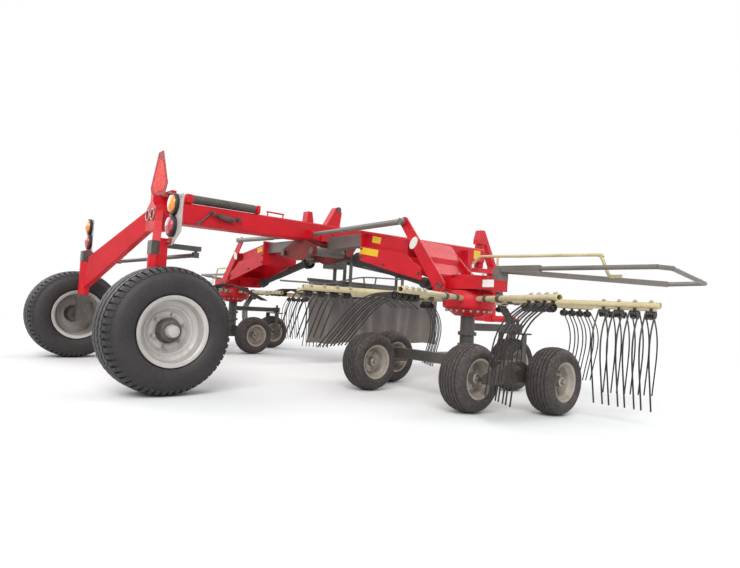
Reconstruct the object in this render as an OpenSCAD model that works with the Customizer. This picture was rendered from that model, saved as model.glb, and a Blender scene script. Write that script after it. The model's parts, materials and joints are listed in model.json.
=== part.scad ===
// Twin rotor hay rake with centre delivery, steered rear axle and folding rotor arms.
// X points to the right-hand side, Y forward and Z up, in millimetres.
// The places below are measured from the ground point under the rear axle; the
// whole machine is then moved back so that the middle of its box stands at the origin.

/* [Rear axle] */
// Sideways distance from the middle to a rear wheel's centre
wheel_x = 1205; // [1100:5:1350]
// Outside diameter of a rear tyre
tyre_d = 850; // [780:5:900]
// Width of a rear tyre
tyre_w = 390; // [320:5:420]
// Diameter at which a rear tyre sits on its rim
rim_d = 430; // [380:5:460]
// Sideways distance from the middle to a kingpin
kingpin_x = 925; // [880:5:930]
// Outside diameter of a kingpin housing
kingpin_housing_d = 96; // [80:1:110]
// Diameter of a kingpin
kingpin_d = 50; // [40:1:60]
// Lower end of a kingpin housing
kingpin_low = 620; // [580:5:660]
// Upper end of a kingpin housing
kingpin_high = 940; // [880:5:980]
// Diameter of a rear stub axle
stub_d = 60; // [50:1:70]
// Distance from a kingpin forward to the tie rod's pin on the steering arm
steer_arm = 300; // [240:5:340]

/* [Main beam and portal] */
// Width of the main beam
beam_w = 200; // [180:2:220]
// Height of the main beam
beam_h = 190; // [180:2:220]
// Height of the main beam's top above the ground, at its rear end
beam_top = 1492; // [1470:2:1540]
// Rise of the main beam from its rear end to the headstock's swivel pin
beam_rise = 74; // [0:2:90]
// Rear end of the main beam
beam_rear = 420; // [380:5:480]
// Chamfer on the long edges of box sections
edge = 14; // [8:1:20]
// Width of a portal leg, fore and aft
leg_w = 60; // [50:2:90]
// Height of a portal leg's upper edge at the portal's block
leg_top = 1411; // [1390:1:1430]
// Depth of a portal leg at the portal's block
leg_h = 190; // [170:2:210]
// Height of a portal leg's lower edge at the kingpin housing
leg_low = 664; // [640:2:690]

/* [Headstock] */
// Distance from the drive input shaft's front end back to the headstock's swivel pin
swivel_back = 465; // [430:5:480]
// Diameter of the headstock's swivel pin
swivel_d = 60; // [50:1:70]
// Height of the lower link pins
hitch_z = 600; // [560:5:650]
// Distance between the shoulders of the lower link pins
hitch_span = 825; // [800:1:840]
// Diameter of a lower link pin
hitch_pin_d = 28; // [27:0.5:29]
// Height from the lower link pins to the top link's bore
mast_h = 610; // [590:1:630]
// Diameter of the top link's bore
top_bore_d = 25.5; // [24:0.5:27]
// Front end of the drive input shaft
front_y = 5325; // [5300:5:5400]
// Diameter of the drive input shaft
input_d = 34.9; // [34:0.1:36]

/* [Rotor arms] */
// Sideways place of the hinge of a rotor arm
hinge_x = 270; // [250:5:300]
// Height of the hinge of a rotor arm
hinge_z = 1200; // [1180:5:1220]
// Diameter of the hinge pin of a rotor arm
hinge_d = 40; // [30:1:50]
// Outside size of the square arm tube
arm_tube = 120; // [100:2:130]
// Height of the arm tube's middle
arm_tube_z = 1300; // [1290:5:1310]
// Sideways place of the flange between the arm tube and the carrier
flange_x = 900; // [860:5:960]
// Thickness of the carrier's side plates
plate_t = 12; // [8:1:16]
// Rear face of the rear carrier plate
carrier_rear = 1915; // [1900:5:1940]
// Front face of the front carrier plate
carrier_front = 2385; // [2360:5:2400]
// Sideways place of the lift cylinder's pin on the carrier
lift_x = 1477; // [1460:1:1485]
// Height of the lift cylinder's pin on the carrier
lift_z = 1412; // [1400:1:1425]
// Sideways place of the lift cylinder's pin at the beam
lift_in_x = 165; // [155:5:175]
// Height of the lift cylinder's pin at the beam
lift_in_z = 1385; // [1370:5:1400]
// Diameter of the lift cylinder's pins
lift_pin_d = 25; // [20:1:30]

/* [Rotors] */
// Sideways distance from the middle to a rotor's axis
rotor_x = 2040; // [2000:5:2080]
// Place of the rotors' axes along the machine
rotor_y = 2150; // [2140:5:2200]
// Radius of the tine arms' tips
rotor_r = 1440; // [1440:5:1500]
// Height of the tine arms' middle
tine_arm_z = 770; // [755:5:790]
// Number of tine arms on a rotor
arm_count = 10; // [8:1:11]
// Diameter of a tine arm
tine_arm_d = 42; // [34:1:48]
// Radius of the innermost tine
tine_r = 1056; // [1050:1:1062]
// Distance between the two tines of a pair
tine_gap = 58; // [50:1:60]
// Distance from one pair of tines to the next
pair_pitch = 100; // [96:1:101]
// Number of pairs of tines on an arm
pair_count = 4; // [2:1:4]
// Diameter of the tine wire
wire_d = 9.5; // [8:0.5:11]
// Outside diameter of a tine's spring coils
coil_d = 48; // [40:1:52]
// Distance from the tine arm's middle to the coils' middle
coil_drop = 62; // [58:1:66]
// Length of a tine above its bend
tine_upper = 210; // [180:5:230]
// Length of a tine below its bend
tine_lower = 440; // [400:5:460]
// Angle of a tine's upper length, trailing from straight down
tine_trail = 33; // [25:1:40]
// Bend of a tine at its kink
tine_bend = 46; // [35:1:50]
// Diameter of the fixed column inside a rotor
column_d = 112; // [104:2:130]

/* [Rotor chassis] */
// Outside diameter of a rotor chassis tyre
small_tyre_d = 457; // [430:1:470]
// Width of a rotor chassis tyre
small_tyre_w = 215; // [180:1:216]
// Diameter at which a chassis tyre sits on its rim
small_rim_d = 254; // [240:1:264]
// Distance from the rotor's axis to a rocker's middle
rocker_x = 660; // [650:5:670]
// Distance from a rocker's middle to its wheels' middles
rocker_wheel = 155; // [150:1:160]
// Place of the rockers' pivot along the machine
rocker_y = 1790; // [1780:5:1800]
// Half the wheelbase of a rocker
rocker_reach = 260; // [250:5:265]
// Diameter of a chassis stub axle
small_stub_d = 28; // [24:1:32]
// Place of the castor's pivot along the machine
castor_y = 2850; // [2800:5:2880]
// Distance from the castor's pivot back to its wheel
castor_trail = 70; // [60:1:80]

/* [Guards and curtain] */
// Sideways place of the outer guard rail
guard_x = 3500; // [3490:5:3560]
// Height of the guard's rear rail
guard_z = 1022; // [1020:1:1040]
// Diameter of the guard's round tubes
guard_d = 34; // [28:1:42]
// Thickness of the swath curtain
curtain_t = 8; // [6:1:12]
// Lower edge of the swath curtain
curtain_low = 235; // [200:5:300]

/* [Hidden] */
$fn = 48;
// Running clearance of a pin or shaft in its bore, on the radius
fit = 0.06;
// Gap left between pieces that move past each other
gap = 8;
// Gap between touching faces of two bodies
seat = 0.3;
// Place of the headstock's swivel pin, along the machine
swivel_y = front_y - swivel_back;
// Middle of the machine's length, moved to the origin
mid_y = (front_y - tyre_d / 2) / 2;
// Middle height of the main beam at its rear end and at the swivel pin
beam_z = beam_top - beam_h / 2;
head_z = beam_z + beam_rise;
// Height of the main beam's top and underside at a given distance along the machine
function beam_over(y) = beam_top + (y - beam_rear) / (swivel_y - beam_rear) * beam_rise;
function beam_under(y) = beam_over(y) - beam_h;
// Cosine and sine helpers for a place on a rotor
function polar(radius, angle) = [radius * cos(angle), radius * sin(angle)];

// A round bar of diameter d from point a to point b
module round_bar(a, b, d) {
  v = b - a;
  translate(a)
    rotate([0, acos(v.z / norm(v)), atan2(v.y, v.x)])
      cylinder(h = norm(v), d = d);
}

// A square or flat bar from point a to point b; w lies level and h stands across the run
module flat_bar(a, b, w, h) {
  v = b - a;
  translate(a)
    rotate([0, acos(v.z / norm(v)), atan2(v.y, v.x)])
      translate([-h / 2, -w / 2, 0])
        cube([h, w, norm(v)]);
}

// The outline of a box section with chamfered corners, centred
module box_section(w, h, c) {
  polygon([
    [-w / 2 + c, -h / 2], [w / 2 - c, -h / 2], [w / 2, -h / 2 + c], [w / 2, h / 2 - c],
    [w / 2 - c, h / 2], [-w / 2 + c, h / 2], [-w / 2, h / 2 - c], [-w / 2, -h / 2 + c]
  ]);
}

// A chamfered box beam from point a to point b, h standing and w level
module box_beam(a, b, w, h, c) {
  v = b - a;
  translate(a)
    rotate([0, acos(v.z / norm(v)), atan2(v.y, v.x)])
      linear_extrude(height = norm(v))
        box_section(h, w, c);
}

// A cylinder along Y that starts at y
module y_cylinder(x, y, z, d, length) {
  translate([x, y, z])
    rotate([-90, 0, 0])
      cylinder(h = length, d = d);
}

// A cylinder along X that starts at x
module x_cylinder(x, y, z, d, length) {
  translate([x, y, z])
    rotate([0, 90, 0])
      cylinder(h = length, d = d);
}

// A plate parallel to the XZ plane that starts at y, from an outline of [x, z] points
module xz_plate(y, t, points) {
  translate([0, y + t, 0])
    rotate([90, 0, 0])
      linear_extrude(height = t)
        polygon(points);
}

// A plate parallel to the YZ plane, centred on x, from an outline of [y, z] points
module yz_plate(x, t, points) {
  translate([x - t / 2, 0, 0])
    rotate([90, 0, 90])
      linear_extrude(height = t)
        polygon(points);
}

// Main beam

// Height of the swivel tube's half above and below the beam's middle
swivel_half = 160;
swivel_tube_d = 130;
flange_t = 20;
flange_w = 300;
flange_low = 1290;
flange_h = 286;
module main_beam() {
  over = beam_over(arm_y);
  mid = over - beam_h / 2;
  color("crimson") {
    difference() {
      union() {
        // The beam starts inside its flange and ends in the swivel tube
        box_beam([0, beam_rear - flange_t / 2, beam_over(beam_rear - flange_t / 2) - beam_h / 2],
                 [0, swivel_y, head_z], beam_w, beam_h, edge);
        translate([0, swivel_y, head_z - swivel_half])
          cylinder(h = 2 * swivel_half, d = swivel_tube_d);
        translate([-flange_w / 2, beam_rear - flange_t, flange_low])
          cube([flange_w, flange_t, flange_h]);
        // Lugs for the lift cylinders
        for (side = [-1, 1])
          lift_lug(side);
        // Upright brackets over the arms' hinges
        yz_plate(0, 90, [
          [arm_y - 170, over - 9], [arm_y - 80, over - 9], [arm_y - 105, over + 120],
          [arm_y - 160, over + 120]
        ]);
        yz_plate(0, 90, [
          [arm_y + 80, over - 9], [arm_y + 270, over - 9], [arm_y + 290, over + 170],
          [arm_y + 250, over + 225], [arm_y + 215, over + 220]
        ]);
        // Notched bracket on each side of the beam, over the arm
        for (side = [-1, 1])
          yz_plate(side * (beam_w / 2 + 12), 26, [
            [arm_y - 20, mid - 5], [arm_y - 20, mid - 90], [arm_y + 170, mid - 90],
            [arm_y + 170, mid - 5], [arm_y + 140, mid - 5], [arm_y + 140, mid - 62],
            [arm_y + 10, mid - 62], [arm_y + 10, mid - 5]
          ]);
        handle_hoop();
        stand_socket();
        // Hanger for the front end of the long drive shaft
        translate([-50, hanger_y, input_z - 45])
          cube([100, hanger_t, beam_under(hanger_y) - input_z + 50]);
      }
      translate([0, swivel_y, head_z - swivel_half - 1])
        cylinder(h = 2 * swivel_half + 2, d = swivel_d + 2 * fit);
      stand_bore();
      round_bar(shaft_at(hanger_y - 40), shaft_at(hanger_y + 60), shaft_d + 2 * seat);
    }
  }
}

lug_t = 16;
lift_y = 1880;
lift_eye_w = 40;
module lift_lug(side) {
  y = lift_y - lift_rod_d / 2 - lug_t - seat;
  base = side * (beam_w / 2 - 5);
  outer = side * (lift_in_x + 28);
  xz_plate(y, lug_t, [
    [base, lift_in_z - 50], [outer, lift_in_z - 28], [outer, lift_in_z + 28], [base, lift_in_z + 50]
  ]);
}

module handle_hoop() {
  base = beam_over(1420) - 5;
  for (y = [1420, 1600])
    translate([0, y, base])
      cylinder(h = 57, d = 13);
  y_cylinder(0, 1408, base + 60, 16, 204);
}

portal_rear = 265;
leg_root = [100, 302];
// Fall of a leg's upper edge, and the distance from the kingpin at which it is notched for the block
leg_fall = 0.535;
leg_notch = 82;
// Top of the tab that the warning plate stands on
block_top = 1530;
// Portal: the two legs that carry the rear axle's kingpin housings
module portal() {
  color("crimson") {
    difference() {
      union() {
        translate([-flange_w / 2, beam_rear - 2 * flange_t, flange_low])
          cube([flange_w, flange_t, flange_h]);
        xz_plate(portal_rear, beam_rear - 2 * flange_t - portal_rear + 1, [
          [-118, leg_top - leg_h - 6], [118, leg_top - leg_h - 6], [118, leg_top], [30, 1470],
          [30, block_top], [-30, block_top], [-30, 1470], [-118, leg_top]
        ]);
        for (side = [-1, 1]) {
          portal_leg(side);
          board_bracket(side);
          translate([side * kingpin_x, 0, kingpin_low])
            cylinder(h = kingpin_high - kingpin_low, d = kingpin_housing_d);
        }
      }
      for (side = [-1, 1])
        translate([side * kingpin_x, 0, kingpin_low - 1])
          cylinder(h = kingpin_high - kingpin_low + 2, d = kingpin_d + 2 * fit);
    }
  }
}

// One leg: a box whose two ends are cut upright, at the block and at the kingpin housing
module portal_leg(side) {
  run = [side * kingpin_x, 0] - [side * leg_root.x, leg_root.y];
  length = norm(run);
  translate([side * leg_root.x, leg_root.y, 0])
    rotate([0, 0, atan2(run.y, run.x)])
      translate([0, leg_w / 2, 0])
        rotate([90, 0, 0])
          linear_extrude(height = leg_w)
            polygon([
              [0, leg_top - leg_h], [length, leg_low], [length, kingpin_high - 5],
              [length - leg_notch, kingpin_high - 5],
              [length - leg_notch, leg_top - leg_fall * (length - leg_notch)], [0, leg_top]
            ]);
}

// Steering knuckle: top block with its arm, kingpin, lower yoke and stub axle
block = 84;
block_h = 100;
arm_rise = 60;
arm_t = 34;
tie_pin_d = 20;
module knuckle(side) {
  x = side * kingpin_x;
  color("dimgray") {
    translate([x - block / 2, -block / 2, kingpin_high + 1])
      cube([block, block, block_h]);
    translate([x, 0, kingpin_low - 60])
      cylinder(h = kingpin_high - kingpin_low + 70, d = kingpin_d);
    // Steering arm ahead of the block
    difference() {
      translate([x - 30, 0, kingpin_high + arm_rise])
        cube([60, steer_arm + 30, arm_t]);
      translate([x, steer_arm, kingpin_high + arm_rise - 1])
        cylinder(h = arm_t + 2, d = tie_pin_d + 2 * fit);
    }
    // Lower yoke
    translate([x - 45, -60, kingpin_low - 62])
      cube([90, 120, 60]);
    translate([x - 20, -55, tyre_d / 2 - 55])
      cube([60, 110, kingpin_low - tyre_d / 2]);
    x_cylinder(side > 0 ? x : x - (wheel_x + 60 - kingpin_x), 0, tyre_d / 2, stub_d,
               wheel_x + 60 - kingpin_x);
  }
}

tie_d = 34;
module tie_rod() {
  z = kingpin_high + 30;
  color("dimgray") {
    x_cylinder(-kingpin_x + 20, steer_arm, z, tie_d, 2 * kingpin_x - 40);
    for (side = [-1, 1])
      translate([side * kingpin_x, steer_arm, z - 20]) {
        cylinder(h = 40, d = 52);
        cylinder(h = arm_rise + arm_t - 10, d = tie_pin_d);
      }
  }
}

// Rear wheels
module rear_tyre(side) {
  half = tyre_w / 2;
  r = tyre_d / 2;
  bead = rim_d / 2;
  color("dimgray")
    translate([side * wheel_x, 0, r])
      rotate([0, 90, 0])
        rotate_extrude($fn = 96)
          polygon([
            [bead, -half + 40], [bead + 30, -half + 12], [bead + 85, -half], [r - 60, -half + 8],
            [r - 14, -half + 38], [r, -half + 75], [r, half - 75], [r - 14, half - 38],
            [r - 60, half - 8], [bead + 85, half], [bead + 30, half - 12], [bead, half - 40]
          ]);
}

module rear_rim(side) {
  half = tyre_w / 2 - 40;
  seat_r = rim_d / 2 - seat;
  color("silver")
    translate([side * wheel_x, 0, tyre_d / 2])
      rotate([0, side * 90, 0])
        difference() {
          rotate_extrude($fn = 96)
            polygon([
              [stub_d / 2 + fit, -60], [70, -60], [95, 15], [150, 40], [seat_r - 30, 10],
              [seat_r - 30, -half + 22], [seat_r - 6, -half], [seat_r, -half], [seat_r, half],
              [seat_r - 8, half], [seat_r - 22, half - 20], [seat_r - 22, 28], [150, 54],
              [88, 30], [80, 78], [stub_d / 2 + fit, 78]
            ]);
        }
}

// Centre frame: the plates under the beam that hold the arms' hinge pins
frame_rear = 1820;
frame_front = 2217;
module centre_frame() {
  low = beam_under(frame_rear) - seat;
  mid = beam_under(frame_front) + beam_h / 2;
  color("firebrick") {
    for (y = [frame_rear, frame_front - plate_t])
      xz_plate(y, plate_t, [
        [-beam_w / 2, beam_under(y) - seat], [-hinge_x - 48, hinge_z + 40], [-hinge_x - 48, hinge_z - 48],
        [-hinge_x + 40, hinge_z - 48], [-90, hinge_z - 90], [90, hinge_z - 90],
        [hinge_x - 40, hinge_z - 48], [hinge_x + 48, hinge_z - 48], [hinge_x + 48, hinge_z + 40],
        [beam_w / 2, beam_under(y) - seat]
      ]);
    for (side = [-1, 1]) {
      y_cylinder(side * hinge_x, frame_rear - 20, hinge_z, hinge_d, frame_front - frame_rear + 28);
      // Pointed gusset on the beam's side, ahead of the hinge
      yz_plate(side * (beam_w / 2 + seat + 8), 16, [
        [frame_front - 7, mid - 20], [frame_front + 163, hinge_z - 10],
        [frame_front + 223, hinge_z - 10], [frame_front + 383, mid + 30]
      ]);
    }
    // Cross webs between the two plates and to the gussets, under the beam
    translate([-85, frame_rear + plate_t - 1, low - 30])
      cube([170, frame_front - frame_rear - 2 * plate_t + 2, 30]);
    translate([-beam_w / 2 - 10, frame_front - 1, low - 20])
      cube([beam_w + 20, 121, 20]);
  }
}

// Central gearbox with its two output stubs and the long drive shaft to the headstock
gearbox_z = 1160;
gearbox_w = 190;
gearbox_front = 2400;
drive_pivot_x = 400;
drive_joint_w = 60;
drive_y = 2270;
shaft_d = 60;
input_z = 950;
// Place of the long drive shaft's middle at a given distance along the machine
function shaft_at(y) =
  [0, y, gearbox_z + (y - gearbox_front) / (swivel_y - gearbox_front) * (input_z - gearbox_z)];
hanger_y = 4590;
hanger_t = 20;
module centre_gearbox() {
  stub_end = drive_pivot_x - drive_joint_w / 2 - seat;
  side_face = gearbox_w / 2 - 1;
  color("dimgray") {
    translate([-gearbox_w / 2, frame_front + seat, gearbox_z - 100])
      cube([gearbox_w, gearbox_front - frame_front - seat, 220 - 2 * plate_t]);
    for (side = [-1, 1])
      x_cylinder(side > 0 ? side_face : -stub_end, drive_y, gearbox_z, 50, stub_end - side_face);
    round_bar(shaft_at(gearbox_front - 40), shaft_at(swivel_y - 10), shaft_d);
    x_cylinder(-40, swivel_y, input_z, 80, 80);
  }
}

// Closed grey tube on top of the beam, between two red ends
module top_tube() {
  color("gray") {
    round_bar([70, 590, beam_over(590) + 52], [70, 1250, beam_over(1250) + 52], 80);
    for (end = [[527, 73], [1243, 39]])
      translate([30, end[0], beam_over(end[0] + end[1]) + seat])
        cube([80, end[1], 98]);
  }
}

// Rear light boards, held by the brackets on the kingpin housings
board_in = 990;
board_out = 1217;
board_low = 1010;
board_top = 1363;
board_y = 60;
module light_boards() {
  color("lightgray")
    for (side = [-1, 1])
      mirror([side > 0 ? 0 : 1, 0, 0])
        xz_plate(board_y, 4, [
          [board_in, board_low], [board_in + 84, board_low], [board_out, board_low + 91],
          [board_out, board_top], [board_in, board_top]
        ]);
}

module board_bracket(side) {
  mirror([side > 0 ? 0 : 1, 0, 0]) {
    translate([kingpin_x + 35, 5, kingpin_high - 80])
      cube([board_in + 10 - kingpin_x - 35, board_y - 5 - seat, 60]);
    translate([board_in, 5, kingpin_high - 80])
      cube([10, board_y - 5 - seat, board_low + 50 - kingpin_high + 80]);
    translate([board_in, board_y - 8 - seat, board_low + 8])
      cube([70, 8, 42]);
  }
}

// Triangular warning plate, blank, on the portal's top
module warning_plate() {
  color("orangered")
    translate([0, 0, block_top + seat])
      xz_plate(portal_rear + 51, 4, [[-205, 92], [-151, 0], [151, 0], [205, 92], [55, 397], [-55, 397]]);
}

// Rail under the beam that carries the swath curtain
rail_z = 920;
rail_d = 34;
rail_rear = 1960;
rail_front = 4060;
// Sideways place of a hanger's two legs
fork_x = 55;
module curtain_rail() {
  color("dimgray") {
    y_cylinder(0, rail_rear, rail_z, rail_d, rail_front - rail_rear);
    // Post under the gearbox
    translate([0, frame_front + 100, rail_z])
      cylinder(h = gearbox_z - 100 - seat - rail_z, d = 40);
    // Forked hangers that straddle the long drive shaft
    for (y = [gearbox_front + 80, rail_front - 760, rail_front - 80]) {
      for (side = [-1, 1])
        translate([side * fork_x - 6, y, rail_z])
          cube([12, 40, beam_under(y) - rail_z - seat]);
      translate([-fork_x - 6, y, rail_z - rail_d / 2])
        cube([2 * fork_x + 12, 40, rail_d / 2 + 8]);
    }
  }
}

module curtain() {
  color("darkslategray")
    translate([-curtain_t / 2, rail_rear + 20, curtain_low])
      cube([curtain_t, rail_front - rail_rear - 40, rail_z - rail_d / 2 - seat - curtain_low]);
}

// Headstock that swivels on the beam's end and holds the three-point hitch
head_w = 110;
mast_rear = front_y - 195;
mast_front = front_y - 85;
module headstock() {
  top = head_z + swivel_half + gap;
  low = head_z - swivel_half - gap;
  color("crimson") {
    difference() {
      union() {
        // Mast with its sloping head, seen from the side
        yz_plate(0, head_w, [
          [mast_rear, hitch_z - 50], [mast_front, hitch_z - 50], [mast_front, low],
          [swivel_y + 40, top + 200], [swivel_y - 30, top + 200], [swivel_y - 75, top + 60],
          [swivel_y - 75, top], [swivel_y + 85, top], [mast_rear, low + 48]
        ]);
        translate([-head_w / 2, swivel_y - 75, low - 60])
          cube([head_w, mast_rear - swivel_y + 85, 60]);
        translate([0, swivel_y, low - 30])
          cylinder(h = top - low + 60, d = swivel_d);
        x_cylinder(-hitch_span / 2, mast_rear + 55, hitch_z, 90, hitch_span);
        x_cylinder(-hitch_span / 2 - 90, mast_rear + 55, hitch_z, hitch_pin_d, hitch_span + 180);
        for (side = [-1, 1])
          yz_plate(side * 40, 16, [
            [mast_front - 5, hitch_z + mast_h - 60], [front_y - 12, hitch_z + mast_h - 40],
            [front_y - 12, hitch_z + mast_h + 40], [mast_front - 5, hitch_z + mast_h + 60]
          ]);
        y_cylinder(0, mast_rear - 40, input_z, 100, mast_front - mast_rear + 45);
        y_cylinder(0, swivel_y + 62, input_z, 50, mast_rear - swivel_y - 62 + 1);
        y_cylinder(0, mast_front, input_z, input_d, front_y - mast_front);
      }
      x_cylinder(-60, front_y - 55, hitch_z + mast_h, top_bore_d, 120);
    }
  }
}

// Parking stand: socket on the beam and the leg that slides in it
stand_y = 4420;
stand_w = 70;
module stand_socket() {
  translate([beam_w / 2 - 2, stand_y - 50, beam_over(stand_y) - 460])
    cube([stand_w + 32, 100, 400]);
}

module stand_bore() {
  translate([beam_w / 2 + 14, stand_y - stand_w / 2 - seat, beam_over(stand_y) - 500])
    cube([stand_w + 2 * seat, stand_w + 2 * seat, 500]);
}

module parking_stand() {
  x = beam_w / 2 + 14 + seat;
  color("gray") {
    translate([x, stand_y - stand_w / 2, 12])
      cube([stand_w, stand_w, beam_over(stand_y) - 80]);
    translate([x + stand_w / 2, stand_y, 0])
      cylinder(h = 14, d = 190);
  }
}

// Rotor arm: the square tube and its hinge barrel
arm_y = 2040;
module arm(side) {
  color("gray")
    difference() {
      union() {
        translate([side > 0 ? hinge_x + 20 : seat - flange_x, arm_y - arm_tube / 2,
                   arm_tube_z - arm_tube / 2])
          cube([flange_x - hinge_x - 20 - seat, arm_tube, arm_tube]);
        y_cylinder(side * hinge_x, frame_rear + plate_t + 6, hinge_z, 90,
                   frame_front - frame_rear - 2 * plate_t - 12);
        xz_plate(arm_y - 60, 120, side > 0
          ? [[hinge_x - 40, hinge_z], [hinge_x + 40, hinge_z - 20], [hinge_x + 220, arm_tube_z - 55],
             [hinge_x + 21, arm_tube_z - 40], [hinge_x + 21, arm_tube_z - 55]]
          : [[-hinge_x - 21, arm_tube_z - 55], [-hinge_x - 21, arm_tube_z - 40],
             [-hinge_x - 220, arm_tube_z - 55], [-hinge_x - 40, hinge_z - 20], [-hinge_x + 40, hinge_z]]);
      }
      y_cylinder(side * hinge_x, frame_rear, hinge_z, hinge_d + 2 * fit, frame_front - frame_rear);
    }
}

// Carrier: the welded frame between arm and rotor, with its lever plate
// Middle of a lever plate's low end, and the plate's half widths at its top and low ends
lever_low = [1922, 858];
lever_half = [46, 60];
gear_low = 842;
gear_high = 930;
module carrier(side) {
  top = [lift_x, lift_z];
  across = [top.y - lever_low.y, lever_low.x - top.x] / norm(lever_low - top);
  // The straight edges run a little inside the round ends
  side_half = lever_half - [1, 1];
  color("crimson")
    mirror([side > 0 ? 0 : 1, 0, 0]) {
      difference() {
        union() {
          // Lever plate with two round ends, at the rear
          xz_plate(carrier_rear, plate_t, [
            top + side_half.x * across, lever_low + side_half.y * across,
            lever_low - side_half.y * across, top - side_half.x * across
          ]);
          y_cylinder(top.x, carrier_rear, top.y, 2 * lever_half.x, plate_t);
          y_cylinder(lever_low.x, carrier_rear, lever_low.y, 2 * lever_half.y, plate_t);
          y_cylinder(lever_low.x, carrier_rear + plate_t - 1, lever_low.y, 70, rotor_y - 200 - carrier_rear);
          // Rear side plate, beside the lever
          xz_plate(carrier_rear, plate_t, [
            [flange_x, 1095], [lift_x - 21, 962], [lift_x + 240, 905], [lift_x + 230, 1010],
            [lift_x + 133, 1062], [lift_x + 30, 1142], [flange_x, 1236]
          ]);
          // Front side plate
          xz_plate(carrier_front - plate_t, plate_t, [
            [flange_x, 1095], [lift_x - 38, 945], [lift_x + 160, 905], [lift_x + 180, gear_low + 10],
            [rotor_x + 110, gear_low + 10], [rotor_x + 110, gear_high - 5], [rotor_x - 50, gear_high - 5],
            [lift_x + 358, 1029], [lift_x + 121, 1255], [lift_x, 1250], [flange_x, 1236]
          ]);
          // Sloping sleeve over the arm's end
          translate([0, arm_y + 75, 0])
            rotate([90, 0, 0])
              linear_extrude(height = 150)
                polygon([
                  [flange_x, 1221], [lift_x + 15, 1119], [lift_x + 15, 1259], [flange_x, 1361]
                ]);
          translate([flange_x, carrier_rear + 1, 1095])
            cube([20, carrier_front - carrier_rear - 2, 280]);
          // Stepped cover between the plates
          translate([0, carrier_front - 1, 0])
            rotate([90, 0, 0])
              linear_extrude(height = carrier_front - carrier_rear - 2)
                translate([lift_x, 0])
                  polygon([
                    [83, 1262], [155, 1240], [213, 1165], [261, 1110], [268, 1062], [345, 968],
                    [349, 925], [331, 925], [327, 960], [252, 1055], [245, 1104], [199, 1156],
                    [143, 1226], [79, 1246]
                  ]);
          // Angle gearbox and the housing over the rotor
          translate([lift_x + 165, drive_y - 130, gear_low - 6])
            cube([240, 200, 130]);
          translate([rotor_x - 170, carrier_rear + 60, gear_low])
            cube([400, carrier_front - carrier_rear - 100, gear_high - gear_low]);
          translate([rotor_x, rotor_y, gear_high - 1])
            cylinder(h = 30, d = 300);
        }
        // Bore for the lift cylinder's pin
        y_cylinder(lift_x, carrier_rear - 1, lift_z, lift_pin_d + 2 * fit, plate_t + 2);
      }
      // Input stub of the angle gearbox
      x_cylinder(drive_out.x + cross_gap, drive_y, drive_out.y, 60, lift_x + 166 - drive_out.x - cross_gap);
    }
}

// Rotor: hub, tine arms and tines as one turning reel
hub_low = 630;
hub_high = 834;

// The tilt of a tine arm about its own axis, as its cam sets it at each place round the rotor
function cam_tilt(a) =
  a < -150 ? 78 : a < -110 ? 78 : a < -60 ? 52 : a < -20 ? 19 : a < 160 ? 0 : 30;

module tine_pair(r, tilt) {
  translate([r + tine_gap / 2, 0, 0])
    rotate([-tilt, 0, 0])
      translate([0, 0, -coil_drop]) {
        x_cylinder(-tine_gap / 2 - 8, 0, 0, coil_d, tine_gap + 16, $fn = 12);
        translate([-12, -6, 0])
          cube([24, 12, coil_drop - 10]);
        for (x = [-tine_gap / 2, tine_gap / 2])
          tine(x);
      }
}

module tine(x) {
  off = coil_d / 2 - wire_d / 2;
  start = [x, -off, 0];
  kink = start + tine_upper * [0, -sin(tine_trail), -cos(tine_trail)];
  tip = kink + tine_lower * [0, -sin(tine_trail - tine_bend), -cos(tine_trail - tine_bend)];
  round_bar(start, kink + [0, 0, -1], wire_d, $fn = 6);
  round_bar(kink, tip, wire_d, $fn = 6);
}

module tine_arm(tilt) {
  x_cylinder(150, 0, 0, tine_arm_d, rotor_r - 150);
  for (i = [0 : pair_count - 1])
    tine_pair(tine_r + i * pair_pitch, tilt);
}

// Direction of the first tine arm
first_arm = -31;
module rotor(side) {
  color("khaki")
    mirror([side > 0 ? 0 : 1, 0, 0])
      translate([rotor_x, rotor_y, 0])
        difference() {
          union() {
            for (i = [0 : arm_count - 1]) {
              a = first_arm + i * 360 / arm_count;
              b = a > 180 ? a - 360 : a;
              translate([0, 0, tine_arm_z])
                rotate([0, 0, a])
                  tine_arm(cam_tilt(b));
            }
            translate([0, 0, hub_low])
              rotate_extrude($fn = 96)
                polygon([
                  [50, 0], [105, 0], [200, 62], [210, 72], [210, 165], [188, hub_high - hub_low],
                  [50, hub_high - hub_low]
                ]);
          }
          translate([0, 0, hub_low - 1])
            cylinder(h = hub_high - hub_low + 2, d = column_d + 2 * fit);
        }
}

// Chassis under a rotor: column, cross beam, rockers and the castor's arm
chassis_z = 300;
chassis_w = 50;
chassis_h = 80;
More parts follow.
